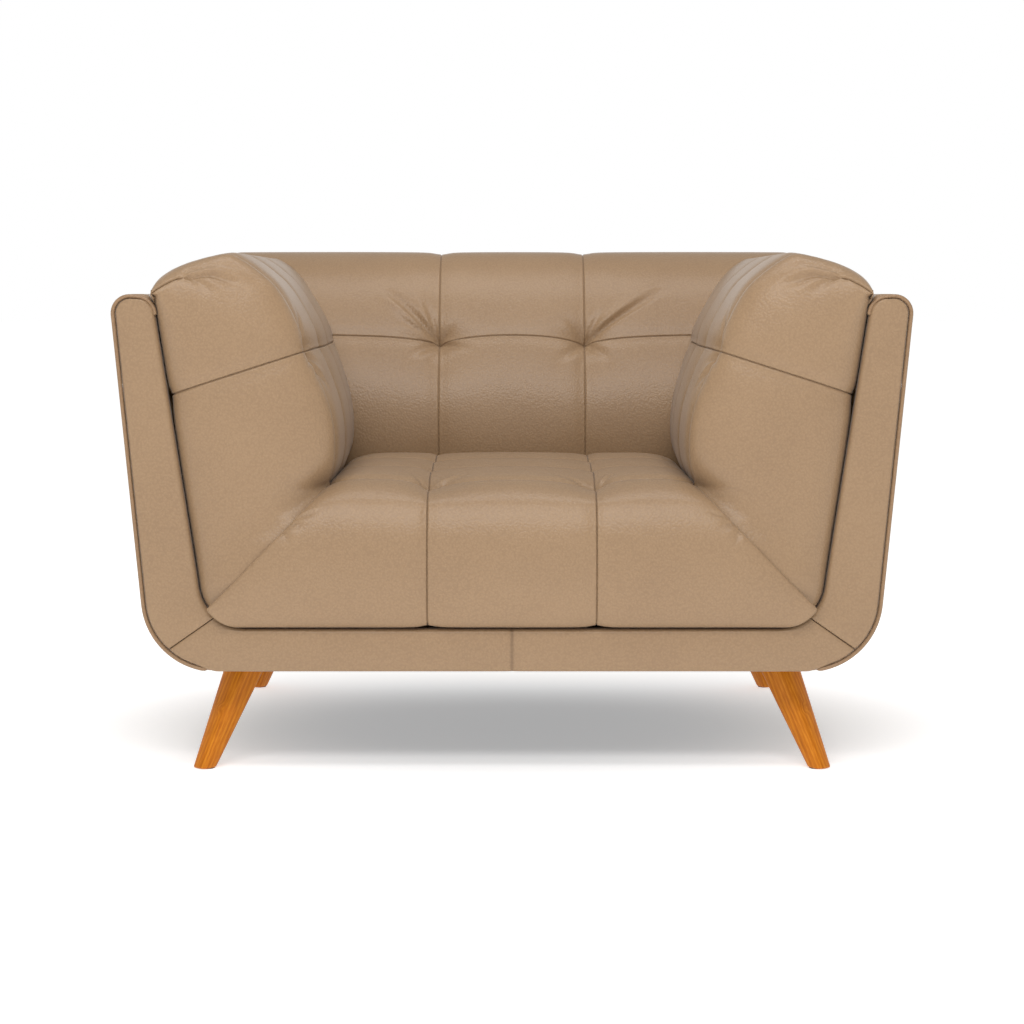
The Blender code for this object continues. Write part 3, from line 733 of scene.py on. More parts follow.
@dataclass(frozen=True)
class Timber:
    """Straight-grained timber: fine growth lines, pores along the grain and one kinked swirl round a knot."""

    look: TimberLook
    along: tuple[float, float, float] = (0.0, 0.0, 1.0)   # direction of the grain
    line_mm: float = 5.0                                  # spacing of the growth lines
    knot: tuple[float, float, float] | None = None        # where the grain swirls
    knot_mm: float = 14.0

    def make(self, name: str | None = None) -> bpy.types.Material:
        """Build the material, under its own name if one is given."""
        title, light, mid, dark, roughness = self.look.value
        material, tree, shader = blank_material(name or title)
        place = add_node(tree, "ShaderNodeTexCoord").outputs["Object"]
        turn = Vector(self.along).rotation_difference(Vector((0, 0, 1))).to_euler()
        grain = add_node(tree, "ShaderNodeMapping", inputs={"Vector": place, "Rotation": turn}).outputs[0]
        long = self._stretched(tree, grain, 0.08)
        bent = add_node(tree, "ShaderNodeVectorMath", {"operation": "MULTIPLY_ADD"},
                        {0: self._noise(tree, long, 38.0).outputs["Color"], 1: (0.006, 0.006, 0.0), 2: long})
        bent = bent.outputs[0]
        if self.knot is not None:
            bent = self._swirl(tree, place, grain, bent)
        wave_scale = 100.0 * math.pi / self.line_mm          # a wave repeats every pi / (10 * scale) metres
        lines = add_node(tree, "ShaderNodeTexWave", {"wave_type": "BANDS", "bands_direction": "X"},
                         {"Vector": bent, "Scale": wave_scale, "Distortion": 3.5, "Detail": 2.0})
        thin = self._stretched(tree, grain, 0.03)
        pores = self._noise(tree, thin, 900.0)
        streak = self._noise(tree, thin, 160.0)
        broad = add_node(tree, "ShaderNodeMath", {"operation": "MULTIPLY_ADD"},
                         {0: streak.outputs["Fac"], 1: 0.9, 2: pores.outputs["Fac"]})
        blend = add_node(tree, "ShaderNodeMath", {"operation": "MULTIPLY_ADD"},
                         {0: lines.outputs["Fac"], 1: 0.32, 2: broad.outputs[0]})
        share = add_node(tree, "ShaderNodeMapRange",
                         inputs={"Value": blend.outputs[0], "From Min": 0.60, "From Max": 1.50})
        colour = colour_ramp(tree, share.outputs["Result"], [(0.0, dark), (0.45, mid), (1.0, light)])
        tree.links.new(colour, shader.inputs["Base Color"])
        bump = add_node(tree, "ShaderNodeBump",
                        inputs={"Height": pores.outputs["Fac"], "Strength": 0.15, "Distance": 0.0003})
        tree.links.new(bump.outputs["Normal"], shader.inputs["Normal"])
        shader.inputs["Roughness"].default_value = roughness
        shader.inputs["Specular IOR Level"].default_value = 0.18
        shader.inputs["IOR"].default_value = 1.5
        return material

    @staticmethod
    def _stretched(tree: bpy.types.NodeTree, grain: bpy.types.NodeSocket,
                   squeeze: float) -> bpy.types.NodeSocket:
        """Coordinates squeezed along the grain, which draw a texture out into long lines."""
        return add_node(tree, "ShaderNodeVectorMath", {"operation": "MULTIPLY"},
                        {0: grain, 1: (1.0, 1.0, squeeze)}).outputs[0]

    @staticmethod
    def _noise(tree: bpy.types.NodeTree, place: bpy.types.NodeSocket, scale: float) -> bpy.types.Node:
        """A noise texture at a scale."""
        return add_node(tree, "ShaderNodeTexNoise", inputs={"Vector": place, "Scale": scale, "Detail": 2.0})

    def _swirl(self, tree: bpy.types.NodeTree, place: bpy.types.NodeSocket, grain: bpy.types.NodeSocket,
               bent: bpy.types.NodeSocket) -> bpy.types.NodeSocket:
        """Kink the growth lines round the knot."""
        away = add_node(tree, "ShaderNodeVectorMath", {"operation": "DISTANCE"}, {0: place, 1: self.knot})
        near = add_node(tree, "ShaderNodeMapRange", {"interpolation_type": "SMOOTHSTEP"},
                        {"Value": away.outputs["Value"], "From Min": 0.0, "From Max": self.knot_mm / 1000.0,
                         "To Min": 1.0, "To Max": 0.0})
        kinks = self._noise(tree, grain, 95.0)
        push = add_node(tree, "ShaderNodeVectorMath", {"operation": "SCALE"},
                        {0: kinks.outputs["Color"], "Scale": near.outputs["Result"]})
        return add_node(tree, "ShaderNodeVectorMath", {"operation": "MULTIPLY_ADD"},
                        {0: push.outputs[0], 1: (0.012, 0.012, 0.0), 2: bent}).outputs[0]


class PlainKind(Enum):
    """Plain finishes, as (name, light, dark, roughness, metallic, grain size in mm, bump distance)."""

    FOAM = ("cream_polyurethane_foam", "ead9ae", "d9c48f", 0.95, 0.0, 1.6, 0.0006)
    CAMBRIC = ("black_spunbond_cambric", "2c2c2f", "1d1d20", 0.93, 0.0, 1.2, 0.0003)
    SPRING = ("oil_tempered_spring_wire", "63666b", "4a4c50", 0.42, 1.0, 2.5, 0.0001)
    ZINC = ("zinc_plated_steel", "c2c4c3", "a7aaa9", 0.32, 1.0, 3.0, 0.0001)
    NYLON = ("moulded_brown_nylon", "4f3828", "3f2c1f", 0.48, 0.0, 1.0, 0.0001)


@dataclass(frozen=True)
class PlainFinish:
    """A finish whose surface is an even grain, such as foam cells, bonded fibres or plating."""

    kind: PlainKind

    def make(self) -> bpy.types.Material:
        """Build the material."""
        name, light, dark, roughness, metallic, grain_mm, bump_distance = self.kind.value
        material, tree, shader = blank_material(name)
        place = add_node(tree, "ShaderNodeTexCoord").outputs["Object"]
        grain = add_node(tree, "ShaderNodeTexNoise",
                         inputs={"Vector": place, "Scale": 1000.0 / grain_mm,
                                 "Detail": 3.0, "Roughness": 0.6})
        colour = colour_ramp(tree, grain.outputs["Fac"], [(0.35, dark), (0.65, light)])
        tree.links.new(colour, shader.inputs["Base Color"])
        bump = add_node(tree, "ShaderNodeBump",
                        inputs={"Height": grain.outputs["Fac"], "Strength": 0.4, "Distance": bump_distance})
        tree.links.new(bump.outputs["Normal"], shader.inputs["Normal"])
        shader.inputs["Roughness"].default_value = roughness
        shader.inputs["Metallic"].default_value = metallic
        return material


def dress(piece: bpy.types.Object, material: bpy.types.Material) -> None:
    """Give a piece one material."""
    piece.data.materials.clear()
    piece.data.materials.append(material)


def place_piece(piece: bpy.types.Object, nodes: Sequence[str]) -> None:
    """Make a piece ride on the chair and stand for its CAD nodes.

    Args:
        piece: The finished piece.
        nodes: CAD nodes that the piece stands for.
    """
    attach(piece, BODY)
    if nodes:
        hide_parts(*nodes)
    LOG.info("piece %s: %d faces", piece.name, len(piece.data.polygons))


# ------------------------------------------------------------------ seat
def mitre_depth(height: Array) -> Array:
    """Y of the seam where the seat's fascia and an arm's front meet, by height."""
    heights = [0.22, 0.30, 0.35, 0.385, 0.405, 0.420, 0.430]
    depths = [-0.4340, -0.4360, -0.4340, -0.4240, -0.4080, -0.3860, -0.3600]
    return np.interp(height, heights, depths)


@dataclass
class Seat:
    """Tufted seat with a fascia that hangs over the base border."""

    leather: bpy.types.Material
    top: float = 0.4525
    edge_top: float = 0.430       # height of the crown where it meets an arm
    front: float = -0.4440
    base: float = 0.2238
    half_spread: float = 0.440    # half width of the leather, laid flat
    tuft_rows: tuple[float, ...] = (-0.355, -0.205, -0.050)
    stuffing: Stuffing = Stuffing(cap=0.007)

    def profile(self) -> Profile:
        """Front-to-back outline from the tuck under the fascia to the tuck behind the seat."""
        return Profile(smooth_curve([
            (-0.400, self.base), (-0.416, self.base), (-0.4285, 0.2280), (-0.4365, 0.2430), (-0.4415, 0.2700),
            (self.front, 0.3000), (-0.4435, 0.3350), (-0.4405, 0.3650), (-0.4335, 0.3890),
            (-0.4230, 0.4110), (-0.4060, 0.4250), (-0.3850, 0.4360), (-0.3600, 0.4445), (-0.3300, 0.4480),
            (-0.2850, 0.4495), (-0.2050, 0.4505), (-0.1300, 0.4515), (-0.0550, 0.4520), (0.0200, 0.4520),
            (0.0700, 0.4490), (0.1000, 0.4410), (0.1240, 0.4240), (0.1280, 0.4050),
        ]))

    def edge_x(self, height: Array) -> Array:
        """Half width at the edge: the sloping joint, rounded at the foot by the border's corner."""
        cx, cz = PLAN.inner_centre()
        radius = PLAN.lip_corner - 0.0006
        round_x = cx + np.sqrt(np.maximum(radius**2 - np.minimum(height - cz, 0.0) ** 2, 0.0))
        return np.minimum(PAD_JOINT - 0.0001 - height, round_x)

    def sewing(self, profile: Profile) -> Sewing:
        """Two seams front to back, three rows of tufts, and folds at the front tufts and the arms' feet."""
        rows = [profile.nearest((y, self.top)) for y in self.tuft_rows]
        valleys = (0.0075, 0.0050, 0.0050)
        sewing = Sewing(
            across=[Seam(sign * SEAM_X, valley=0.0036, reach=0.014) for sign in (-1, 1)],
            along=[Seam(row, valley=valley, reach=0.011) for row, valley in zip(rows, valleys)],
            tufts=[Tuft(sign * SEAM_X, row, depth=depth, reach=reach) for sign in (-1, 1)
                   for row, depth, reach in zip(rows, (0.0250, 0.0120, 0.0100), (0.038, 0.034, 0.030))],
        )
        for sign in (-1, 1):
            for angle, depth, length in ((150, 0.0042, 0.080), (30, 0.0042, 0.080),
                                         (166, 0.0026, 0.060), (14, 0.0026, 0.060)):
                sewing.creases.append(Crease(sign * SEAM_X, rows[0], angle, length, depth, 0.0050))
        corner = profile.nearest((-0.437, 0.390))
        beside_arm = self.half_spread - 0.004
        for shift, angle in ((0.006, 176), (0.000, 196), (-0.008, 214)):
            for sign in (-1, 1):
                turned = angle if sign > 0 else 180 - angle
                sewing.creases.append(
                    Crease(sign * beside_arm, corner + shift, turned, 0.060, 0.0032, 0.0034))
        return sewing

    def build(self) -> bpy.types.Object:
        """Make the seat's upholstery."""
        profile = self.profile()
        fascia_end = -0.33            # depth behind which the seat is flat
        fall_width = 0.075            # over which the crown falls to the edge

        def shape(u: Array, v: Array) -> Array:
            """Points of the plain seat."""
            y_mid, z_mid = profile.at(v)
            z_edge = self.base + (z_mid - self.base) * (self.edge_top - self.base) / (self.top - self.base)
            y_edge = np.where(y_mid < fascia_end, np.maximum(y_mid, mitre_depth(z_edge)), y_mid)
            half = self.edge_x(z_edge)
            side = np.clip((np.abs(u) - SEAM_X) / (self.half_spread - SEAM_X), 0.0, 1.0)
            x = np.where(np.abs(u) <= SEAM_X, u, np.sign(u) * (SEAM_X + side * (half - SEAM_X)))
            inward = (half - np.abs(x)) / fall_width
            fall = 1.0 - np.sqrt(np.clip(1.0 - np.clip(1.0 - inward, 0.0, 1.0) ** 2.4, 0.0, 1.0))
            y = y_mid + (y_edge - y_mid) * fall
            z = z_mid + (z_edge - z_mid) * fall
            return np.stack([x, y, z], axis=-1)

        surface = PaddedSurface(shape, (-self.half_spread, self.half_spread), (0.0, profile.total),
                                self.sewing(profile), stuffing=self.stuffing)
        points, seam_dye_and_shade = surface.points()
        under = []                    # rows that close the pad below
        for y, z in ((0.1175, 0.2700), (-0.3940, 0.2700), (-0.3940, self.base)):
            row = points[:, -1].copy() if z > self.base else points[:, 0].copy()
            limit = self.edge_x(np.array(z))
            row[:, 0] = np.clip(row[:, 0] * 1.2, -limit, limit)
            row[:, 1], row[:, 2] = y, z
            under.append(row)
        points = np.concatenate([points, np.stack(under, axis=1)], axis=1)
        seam_dye_and_shade = np.pad(seam_dye_and_shade, ((0, 0), (0, len(under))))
        piece = grid_piece("seat_upholstery", points, flip=False, loop=Loop.V, seam_dye_and_shade=seam_dye_and_shade)
        dress(piece, self.leather)
        place_piece(piece, ["seat_foam", "seat_cover"])
        return piece


# ------------------------------------------------------------------ back pad
@dataclass
class BackPad:
    """Reclined back pad with two tufts, two upright seams and one level seam."""

    leather: bpy.types.Material
    half_width: float = 0.522
    tuft_height: float = 0.641
    arch: float = 0.0080          # how far the level seam bows up between tufts
    round_off: float = 0.045      # radius of the pad's ends
    stuffing: Stuffing = Stuffing(cap=0.007)

    def profile(self) -> Profile:
        """Outline in (y, z) from behind the seat up over the crown and down to the outer back."""
        return Profile(smooth_curve([
            (0.1330, 0.3900), (0.1290, 0.4350), (0.1240, 0.4800), (0.1255, 0.5200), (0.1350, 0.5600),
            (0.1580, 0.6150), (0.1900, 0.6750), (0.2250, 0.7250), (0.2640, 0.7650), (0.3050, 0.7850),
            (0.3500, 0.7870), (0.3920, 0.7750), (0.4180, 0.7500), (0.4260, 0.7200), (0.4200, 0.7000),
        ]))

    def surface_y(self, height: Array) -> Array:
        """Y of the pad's plain front face at heights."""
        points = self.profile().points
        front = points[: int(np.argmax(points[:, 1]))]
        return np.interp(height, front[:, 1], front[:, 0])

    @staticmethod
    def sewing(level: float) -> Sewing:
        """Two upright seams, one level seam, and a tuft with its folds where they cross."""
        sewing = Sewing(
            across=[Seam(sign * SEAM_X, valley=0.0040, reach=0.018, groove=0.0016) for sign in (-1, 1)],
            along=[Seam(level, valley=0.0046, reach=0.020, groove=0.0016)],
            tufts=[Tuft(sign * SEAM_X, level, depth=0.0240, reach=0.030) for sign in (-1, 1)],
        )
        left_folds = (
            (134, 0.150, 0.0085, 0.0060), (109, 0.110, 0.0058, 0.0048), (152, 0.080, 0.0046, 0.0046),
            (-24, 0.065, 0.0050, 0.0050), (52, 0.045, 0.0034, 0.0042), (215, 0.075, 0.0040, 0.0080))
        right_folds = (
            (35, 0.185, 0.0080, 0.0062), (62, 0.070, 0.0040, 0.0050), (128, 0.055, 0.0040, 0.0048),
            (225, 0.075, 0.0040, 0.0080), (-42, 0.075, 0.0040, 0.0080))
        for sign, folds in ((-1, left_folds), (1, right_folds)):
            for angle, length, depth, width in folds:
                sewing.creases.append(Crease(sign * SEAM_X, level, angle, length, depth, width))
        return sewing

    def build(self) -> bpy.types.Object:
        """Make the back pad."""
        profile = self.profile()
        level = profile.nearest((0.169, self.tuft_height))

        def shape(u: Array, v: Array) -> Array:
            """Points of the plain back pad."""
            outer_half = SEAM_X * 2       # from a tuft to where the outer arch is highest
            beyond = np.clip(np.abs(u) - SEAM_X, 0, outer_half) / outer_half
            rise = np.where(np.abs(u) < SEAM_X, 1 - (u / SEAM_X) ** 2, beyond * (2 - beyond))
            bow = self.arch * rise * line_mark(v - level, 0.09)
            y, z = profile.at(v + bow)
            points = np.stack([u, y, z], axis=-1)
            inset = self.round_off * edge_round(self.half_width - np.abs(u), self.round_off)
            return points - grid_normals(points) * inset[..., None]

        surface = PaddedSurface(shape, (-self.half_width, self.half_width), (0.0, profile.total),
                                self.sewing(level), stuffing=self.stuffing)
        points, seam_dye_and_shade = surface.points()
        behind = []                   # rows that close the pad at the rear and below
        for y, z in ((0.3700, 0.6950), (0.3450, 0.4500), (0.3400, 0.2720), (0.1250, 0.2720)):
            row = points[:, -1].copy()
            limit = PLAN.lip(z) - 0.003
            row[:, 0] = np.clip(row[:, 0], -limit, limit)
            row[:, 1], row[:, 2] = y, z
            behind.append(row)
        points = np.concatenate([points, np.stack(behind, axis=1)], axis=1)
        seam_dye_and_shade = np.pad(seam_dye_and_shade, ((0, 0), (0, len(behind))))
        piece = grid_piece("back_upholstery", points, flip=False, loop=Loop.V, seam_dye_and_shade=seam_dye_and_shade)
        dress(piece, self.leather)
        place_piece(piece, ["back_foam", "back_cover"])
        return piece


# ------------------------------------------------------------------ arm pads
@dataclass
class ArmPads:
    """The two tufted arm pads, whose leather wraps round the front to the border's inner edge."""

    leather: bpy.types.Material
    back: BackPad
    front: float = -0.4290
    first_seam: float = -0.357
    second_seam: float = -0.190
    third_seam: float = -0.020
    tuft_height: float = 0.634
    stuffing: Stuffing = Stuffing(cap=0.007)

    def section(self) -> Profile:
        """Right arm's outline in (x, z), from the joint with the seat over the top to the shell."""
        return Profile(smooth_curve([
            (0.2735, 0.4285), (0.2610, 0.4600), (0.2575, 0.4980), (0.2630, 0.5440), (0.2800, 0.6000),
            (0.2990, 0.6560), (0.3190, 0.6920), (0.3450, 0.7290), (0.3700, 0.7510), (0.3930, 0.7670),
            (0.4130, 0.7765), (0.4380, 0.7735), (0.4600, 0.7675), (0.4830, 0.7595), (0.5030, 0.7495),
            (0.5180, 0.7375), (0.5260, 0.7230), (0.5255, 0.7060), (0.5200, 0.6900),
        ]))

    def lip_curve(self, share_v: Array, level: float, dart: float, total: float) -> tuple[Array, Array]:
        """Where each row of the pad meets the border's inner edge, as (x, z)."""
        stops = [0.0, level, dart, total]
        heights = [0.2370, 0.567, 0.7100, 0.7150]
        z = np.interp(share_v, stops, heights)
        cx, cz = PLAN.inner_centre()
        gap = 0.0008                                  # between the pad and the border
        straight = PLAN.lip(z) - gap
        radius = PLAN.lip_corner - gap
        drop = np.clip(cz - z, 0.0, radius)
        rounded = np.minimum(straight, cx + np.sqrt(radius**2 - drop**2))
        return np.where(z < cz - 0.010, rounded, straight), z

    def build(self) -> list[bpy.types.Object]:
        """Make both arm pads."""
        section = self.section()
        level = section.nearest((0.290, self.tuft_height))
        dart = section.nearest((0.4700, 0.7645))
        crest = section.nearest((0.3900, 0.7650))
        tip = section.nearest((0.4560, 0.7688))
        tip_u = 0.088                                    # how far the dart reaches in from the border
        total = section.total
        wrap = 0.215                                     # leather between the border and the first seam
        run = 0.30 - self.first_seam
        rear_gap = 0.004                                 # how far the pad runs into the back pad

        def shape(u: Array, v: Array) -> Array:
            """Points of the plain right arm pad."""
            x_sec, z_sec = section.at(v)
            x_lip, z_lip = self.lip_curve(v, level, dart, total)
            turn = np.clip(u / wrap, 0.0, 1.0) * math.pi / 2
            power = 2.0 / 2.7                            # a superellipse, fuller than a circle
            out = np.sin(turn) ** power
            back = 1.0 - np.cos(turn) ** power
            x = x_lip + (x_sec - x_lip) * out
            z = z_lip + (z_sec - z_lip) * out ** (1 + 0.6 * smoothstep(level, dart, v))
            y = self.front + (self.first_seam - self.front) * back
            y = y + (mitre_depth(z) - y) * line_mark(v, 0.035) * (u < wrap)
            y = y + 0.026 * edge_round(u, 0.020)
            rear = self.back.surface_y(z_sec) + rear_gap + 0.03 * smoothstep(crest - 0.03, crest + 0.06, v)
            share = np.clip((u - wrap) / run, 0.0, 1.0)
            y = np.where(u > wrap, self.first_seam + (rear - self.first_seam) * share, y)
            # the inner face thins towards the back
            x = x + 0.010 * smoothstep(0.45, 1.0, share) * (1 - smoothstep(crest - 0.08, crest, v))
            return np.stack([x, y, z], axis=-1)

        def u_of(depth: float) -> float:
            """Distance along the pad of a seam at a depth, taken at the tuft's height."""
            rear = float(self.back.surface_y(np.array(self.tuft_height))) + rear_gap
            return wrap + run * (depth - self.first_seam) / (rear - self.first_seam)

        seams = [wrap, u_of(self.second_seam), u_of(self.third_seam)]
        sewing = Sewing(
            across=[Seam(seams[0], valley=0.0085, reach=0.020), Seam(seams[1], valley=0.0060, reach=0.018),
                    Seam(seams[2], valley=0.0050, reach=0.018)],
            along=[Seam(level, valley=0.0045, reach=0.018, start=-1.0)],
            tufts=[Tuft(seams[0], level, depth=0.0330, reach=0.026),
                   Tuft(seams[1], level, depth=0.0150, reach=0.024),
                   Tuft(seams[2], level, depth=0.0090, reach=0.024)],
            darts=[Dart((tip_u, tip), (0.0, section.nearest((0.5265, 0.7260))), bow=0.0100)],
        )
        for angle, length, depth in ((66, 0.085, 0.0050), (-60, 0.085, 0.0050), (-25, 0.065, 0.0034),
                                     (118, 0.07, 0.0034), (205, 0.075, 0.0030)):
            sewing.creases.append(Crease(seams[0], level, angle, length, depth, 0.0055))
        for angle, length, depth in ((-72, 0.120, 0.0070), (-100, 0.080, 0.0034)):
            sewing.creases.append(Crease(tip_u, tip, angle, length, depth, 0.0085))
        surface = PaddedSurface(shape, (0.0, wrap + run), (0.0, total), sewing,
                                stuffing=self.stuffing, outward=-1.0)
        points, seam_dye_and_shade = surface.points()
        wall = points[:1].copy()                      # outer side, along the shell to the rear
        wall[:, :, 1] = points[-1:, :, 1]
        right = np.concatenate([points, wall], axis=0)
        seam_dye_and_shade = np.pad(seam_dye_and_shade, ((0, 1), (0, 0)))
        pieces = []
        for side, points, flip in (("right", right, True), ("left", mirrored(right), False)):
            piece = grid_piece(f"{side}_arm_upholstery", points, flip=flip, loop=Loop.U, seam_dye_and_shade=seam_dye_and_shade)
            dress(piece, self.leather)
            place_piece(piece, [f"{side}_arm_foam", f"{side}_arm_cover"])
            pieces.append(piece)
        return pieces


# ------------------------------------------------------------------ front border and welts
INNER_TURN = 0.0225    # radius at which the border's inner edge turns over the arm's top


@dataclass
class Borders:
    """Padded leather border round the front of the shell, in three lengths with mitred corners."""

    leather: bpy.types.Material
    welt_leather: bpy.types.Material
    depth: float = 0.020
    welt: float = 0.0029
    top_drop: float = 0.030       # from the arm's top to where the inner edge starts to turn in

    def outlines(self) -> tuple[Array, Array, float]:
        """Matching points on the outer and inner outlines of the right half, and the mitre's place."""
        room = 0.0068                                 # for the welt, outside the strip
        clearance = 0.0008                            # under the base, where there is no welt
        out_c, in_c = PLAN.outer_centre(), PLAN.inner_centre()
        base_steps, corner_steps, side_steps, top_steps = 60, 40, 80, 30
        shares = [k / base_steps for k in range(base_steps)]
        outer: list[Point2] = [(out_c[0] * share, PLAN.bottom + clearance) for share in shares]
        inner: list[Point2] = [(in_c[0] * share, PLAN.base_top) for share in shares]
        end_out = -math.degrees(math.atan(PLAN.arm_lean))
        end_in = -math.degrees(math.atan(PLAN.lip_lean))
        for k in range(corner_steps + 1):
            share = k / corner_steps
            a = math.radians(-90 + (90 + end_out) * share)
            b = math.radians(-90 + (90 + end_in) * share)
            drawn_in = (room - clearance) * min(share * 5.0, 1.0)
            radius = PLAN.corner - clearance - drawn_in
            outer.append((out_c[0] + radius * math.cos(a), out_c[1] + radius * math.sin(a)))
            inner.append((in_c[0] + PLAN.lip_corner * math.cos(b), in_c[1] + PLAN.lip_corner * math.sin(b)))
        mitre = base_steps + corner_steps / 2
        cx, top_out = PLAN.top_centre()
        top_in = PLAN.top - self.top_drop
        straight_top = top_out + (PLAN.top_corner - room) * math.sin(math.radians(end_out))
        start_out, start_in = outer[-1][1], inner[-1][1]
        for k in range(1, side_steps + 1):
            share = k / side_steps
            z_out = start_out + (straight_top - start_out) * share
            z_in = start_in + (top_in - start_in) * share
            outer.append((PLAN.wall(z_out) - room, z_out))
            inner.append((PLAN.lip(z_in), z_in))
        radius = PLAN.top_corner - room
        ix = inner[-1][0]
        for k in range(1, top_steps + 1):
            share = k / top_steps
            a = math.radians(end_out + (90 - end_out) * share)
            outer.append((cx + radius * math.cos(a), top_out + radius * math.sin(a)))
            b = math.radians(180 - 88 * share)
            inner.append((ix + INNER_TURN * (1 + math.cos(b)), top_in + INNER_TURN * math.sin(b)))
        return np.array(outer), np.array(inner), mitre

    def strip(self, first: float, last: float, open_start: bool) -> tuple[Array, Array]:
        """A padded strip between two places on the outlines.

        Args:
            first: Place where it starts, in outline points.
            last: Place where it ends.
            open_start: Whether its start runs on into another strip, so that it isn't drawn in there.

        Returns:
            Grid of points, along and then across, and the marks of its stitched ends and of the painted shade
            along its long edges.
        """
        outer, inner, _ = self.outlines()
        scale = 0.0065                                # metres between two outline points, roughly
        lines = graded_lines(first * scale, last * scale, [], 0.004)
        ends = [e for e, wanted in ((first * scale, not open_start), (last * scale, True)) if wanted]
        extra = [abs(e - o) if e > lines[0] else e + o for e in ends for o in FINE_OFFSETS]
        lines = np.unique(np.round(np.concatenate([lines, extra]), 6)) / scale
        places = np.arange(len(outer))
        out = np.column_stack([np.interp(lines, places, outer[:, k]) for k in range(2)])
        into = np.column_stack([np.interp(lines, places, inner[:, k]) for k in range(2)])
        width = np.linalg.norm(out - into, axis=1)[:, None]
        share = 0.5 - 0.5 * np.cos(np.linspace(0.0, math.pi, 41))
        from_lip, from_welt = share[None, :] * width, (1 - share)[None, :] * width
        lip = 0.0090 * edge_round(from_lip, 0.0070)
        rim = 0.0070 * edge_round(from_welt, 0.0040)
        crown = np.sin(np.pi * share)[None, :] * 0.0022
        front = PLAN.front + 0.0012 + lip + rim - crown
        distance = np.min([np.abs(lines * scale - e) for e in ends], axis=0)[:, None]
        front = front + 0.0024 * line_mark(distance, 0.0014) + 0.0016 * wide_valley(distance, 0.010)
        rear = np.full((len(lines), 1), PLAN.front + self.depth)
        y = np.concatenate([rear, front, rear], axis=1)
        across = np.concatenate([[0.0], share, [1.0]])
        xz = into[:, None, :] + (out - into)[:, None, :] * across[None, :, None]
        seam_dye_and_shade = line_mark(distance, 0.0010) * np.ones((1, len(across)))
        # painted shade: the strip is also darkened along both long edges, in the gaps at the border's inner
        # edge and beside the welt
        edge = np.pad(np.minimum(from_lip, from_welt), ((0, 0), (1, 1)))
        seam_dye_and_shade = np.maximum(seam_dye_and_shade, 0.9 * line_mark(edge, 0.0013))
        return np.stack([xz[..., 0], y, xz[..., 1]], axis=-1), seam_dye_and_shade

    def build(self) -> list[bpy.types.Object]:
        """Make the three strips and the two welts."""
        outer, _, mitre = self.outlines()
        gap = 0.05                                    # in outline points, on each side of the mitre
        side, side_seam_dye_and_shade = self.strip(mitre + gap, len(outer) - 1, open_start=False)
        half, half_seam_dye_and_shade = self.strip(0.0, mitre - gap, open_start=True)
        base = np.concatenate([mirrored(half)[:0:-1], half])
        base_seam_dye_and_shade = np.concatenate([half_seam_dye_and_shade[:0:-1], half_seam_dye_and_shade])
        middle = np.abs(base[:, :, 0])
        base[:, :, 1] += 0.0016 * line_mark(middle, 0.0012) + 0.0014 * wide_valley(middle, 0.012)
        base_seam_dye_and_shade = np.maximum(base_seam_dye_and_shade, line_mark(middle, 0.0011))
        pieces = []
        for name, node, points, seam_dye_and_shade, flip in (
            ("right_border_padding", "right_border", side, side_seam_dye_and_shade, True),
            ("left_border_padding", "left_border", mirrored(side), side_seam_dye_and_shade, False),
            ("base_border_padding", "base_border", base, base_seam_dye_and_shade, True),
        ):
            piece = grid_piece(name, points, flip=flip, loop=Loop.V, seam_dye_and_shade=seam_dye_and_shade)
            dress(piece, self.leather)
            place_piece(piece, [node])
            pieces.append(piece)
        for side_name, sign in (("right", 1), ("left", -1)):
            path = self.welt_path(sign)
            piece = sweep_cord(f"{side_name}_welt_cord", path, self.welt, self.welt_leather)
            place_piece(piece, [f"{side_name}_welt"])
            pieces.append(piece)
        return pieces

    def welt_path(self, sign: int) -> list[Vector]:
        """Middle line of a welt, from the base up the side, over the arm top and down its inner side."""
        inset = 0.0030
        out_c = PLAN.outer_centre()
        end_out = -math.atan(PLAN.arm_lean)
        radius = PLAN.corner - inset
        y = PLAN.front + 0.0050
        points = []
        for k in range(31):
            a = math.radians(-83) + (end_out + math.radians(83)) * k / 30
            points.append((out_c[0] + radius * math.cos(a), y, out_c[1] + radius * math.sin(a)))
        points[0] = (points[0][0] - 0.004, y + 0.010, points[0][2] + 0.003)   # tucked in under the base
        cx, top_out = PLAN.top_centre()
        start = points[-1][2]
        for k in range(1, 33):
            z = start + (top_out - start) * k / 32
            points.append((PLAN.wall(z) - inset, y, z))
        radius = PLAN.top_corner - inset
        for k in range(1, 17):
            a = end_out + (math.pi / 2 - end_out) * k / 16
            points.append((cx + radius * math.cos(a), y, top_out + radius * math.sin(a)))
        top_in = PLAN.top - self.top_drop
        turn_x = PLAN.lip(top_in) + INNER_TURN + 0.003
        for k in range(1, 15):
            b = math.radians(92 + 88 * k / 14)
            points.append((turn_x + 0.0255 * math.cos(b), y, top_in + 0.0258 * math.sin(b)))
        return [Vector((sign * p[0], p[1], p[2])) for p in points]


def grow(guide: bpy.types.Object, tree: bpy.types.NodeTree, sizes: dict[str, float]) -> bpy.types.Mesh:
    """Run a Geometry Nodes tree on a guide object and keep only the plain mesh that it makes.

    Args:
        guide: The object the tree starts from, which is removed afterwards.
        tree: The tree, whose named inputs take the sizes.
        sizes: A value for each named input.

    Returns:
        The finished mesh, with no modifier left.
    """
    modifier = guide.modifiers.new(tree.name, "NODES")
    modifier.node_group = tree
    for socket in tree.interface.items_tree:
        if socket.name in sizes:
            modifier[socket.identifier] = sizes[socket.name]
    graph = bpy.context.evaluated_depsgraph_get()
    graph.update()
    made = bpy.data.meshes.new_from_object(guide.evaluated_get(graph))
    bpy.data.objects.remove(guide, do_unlink=True)
    return made


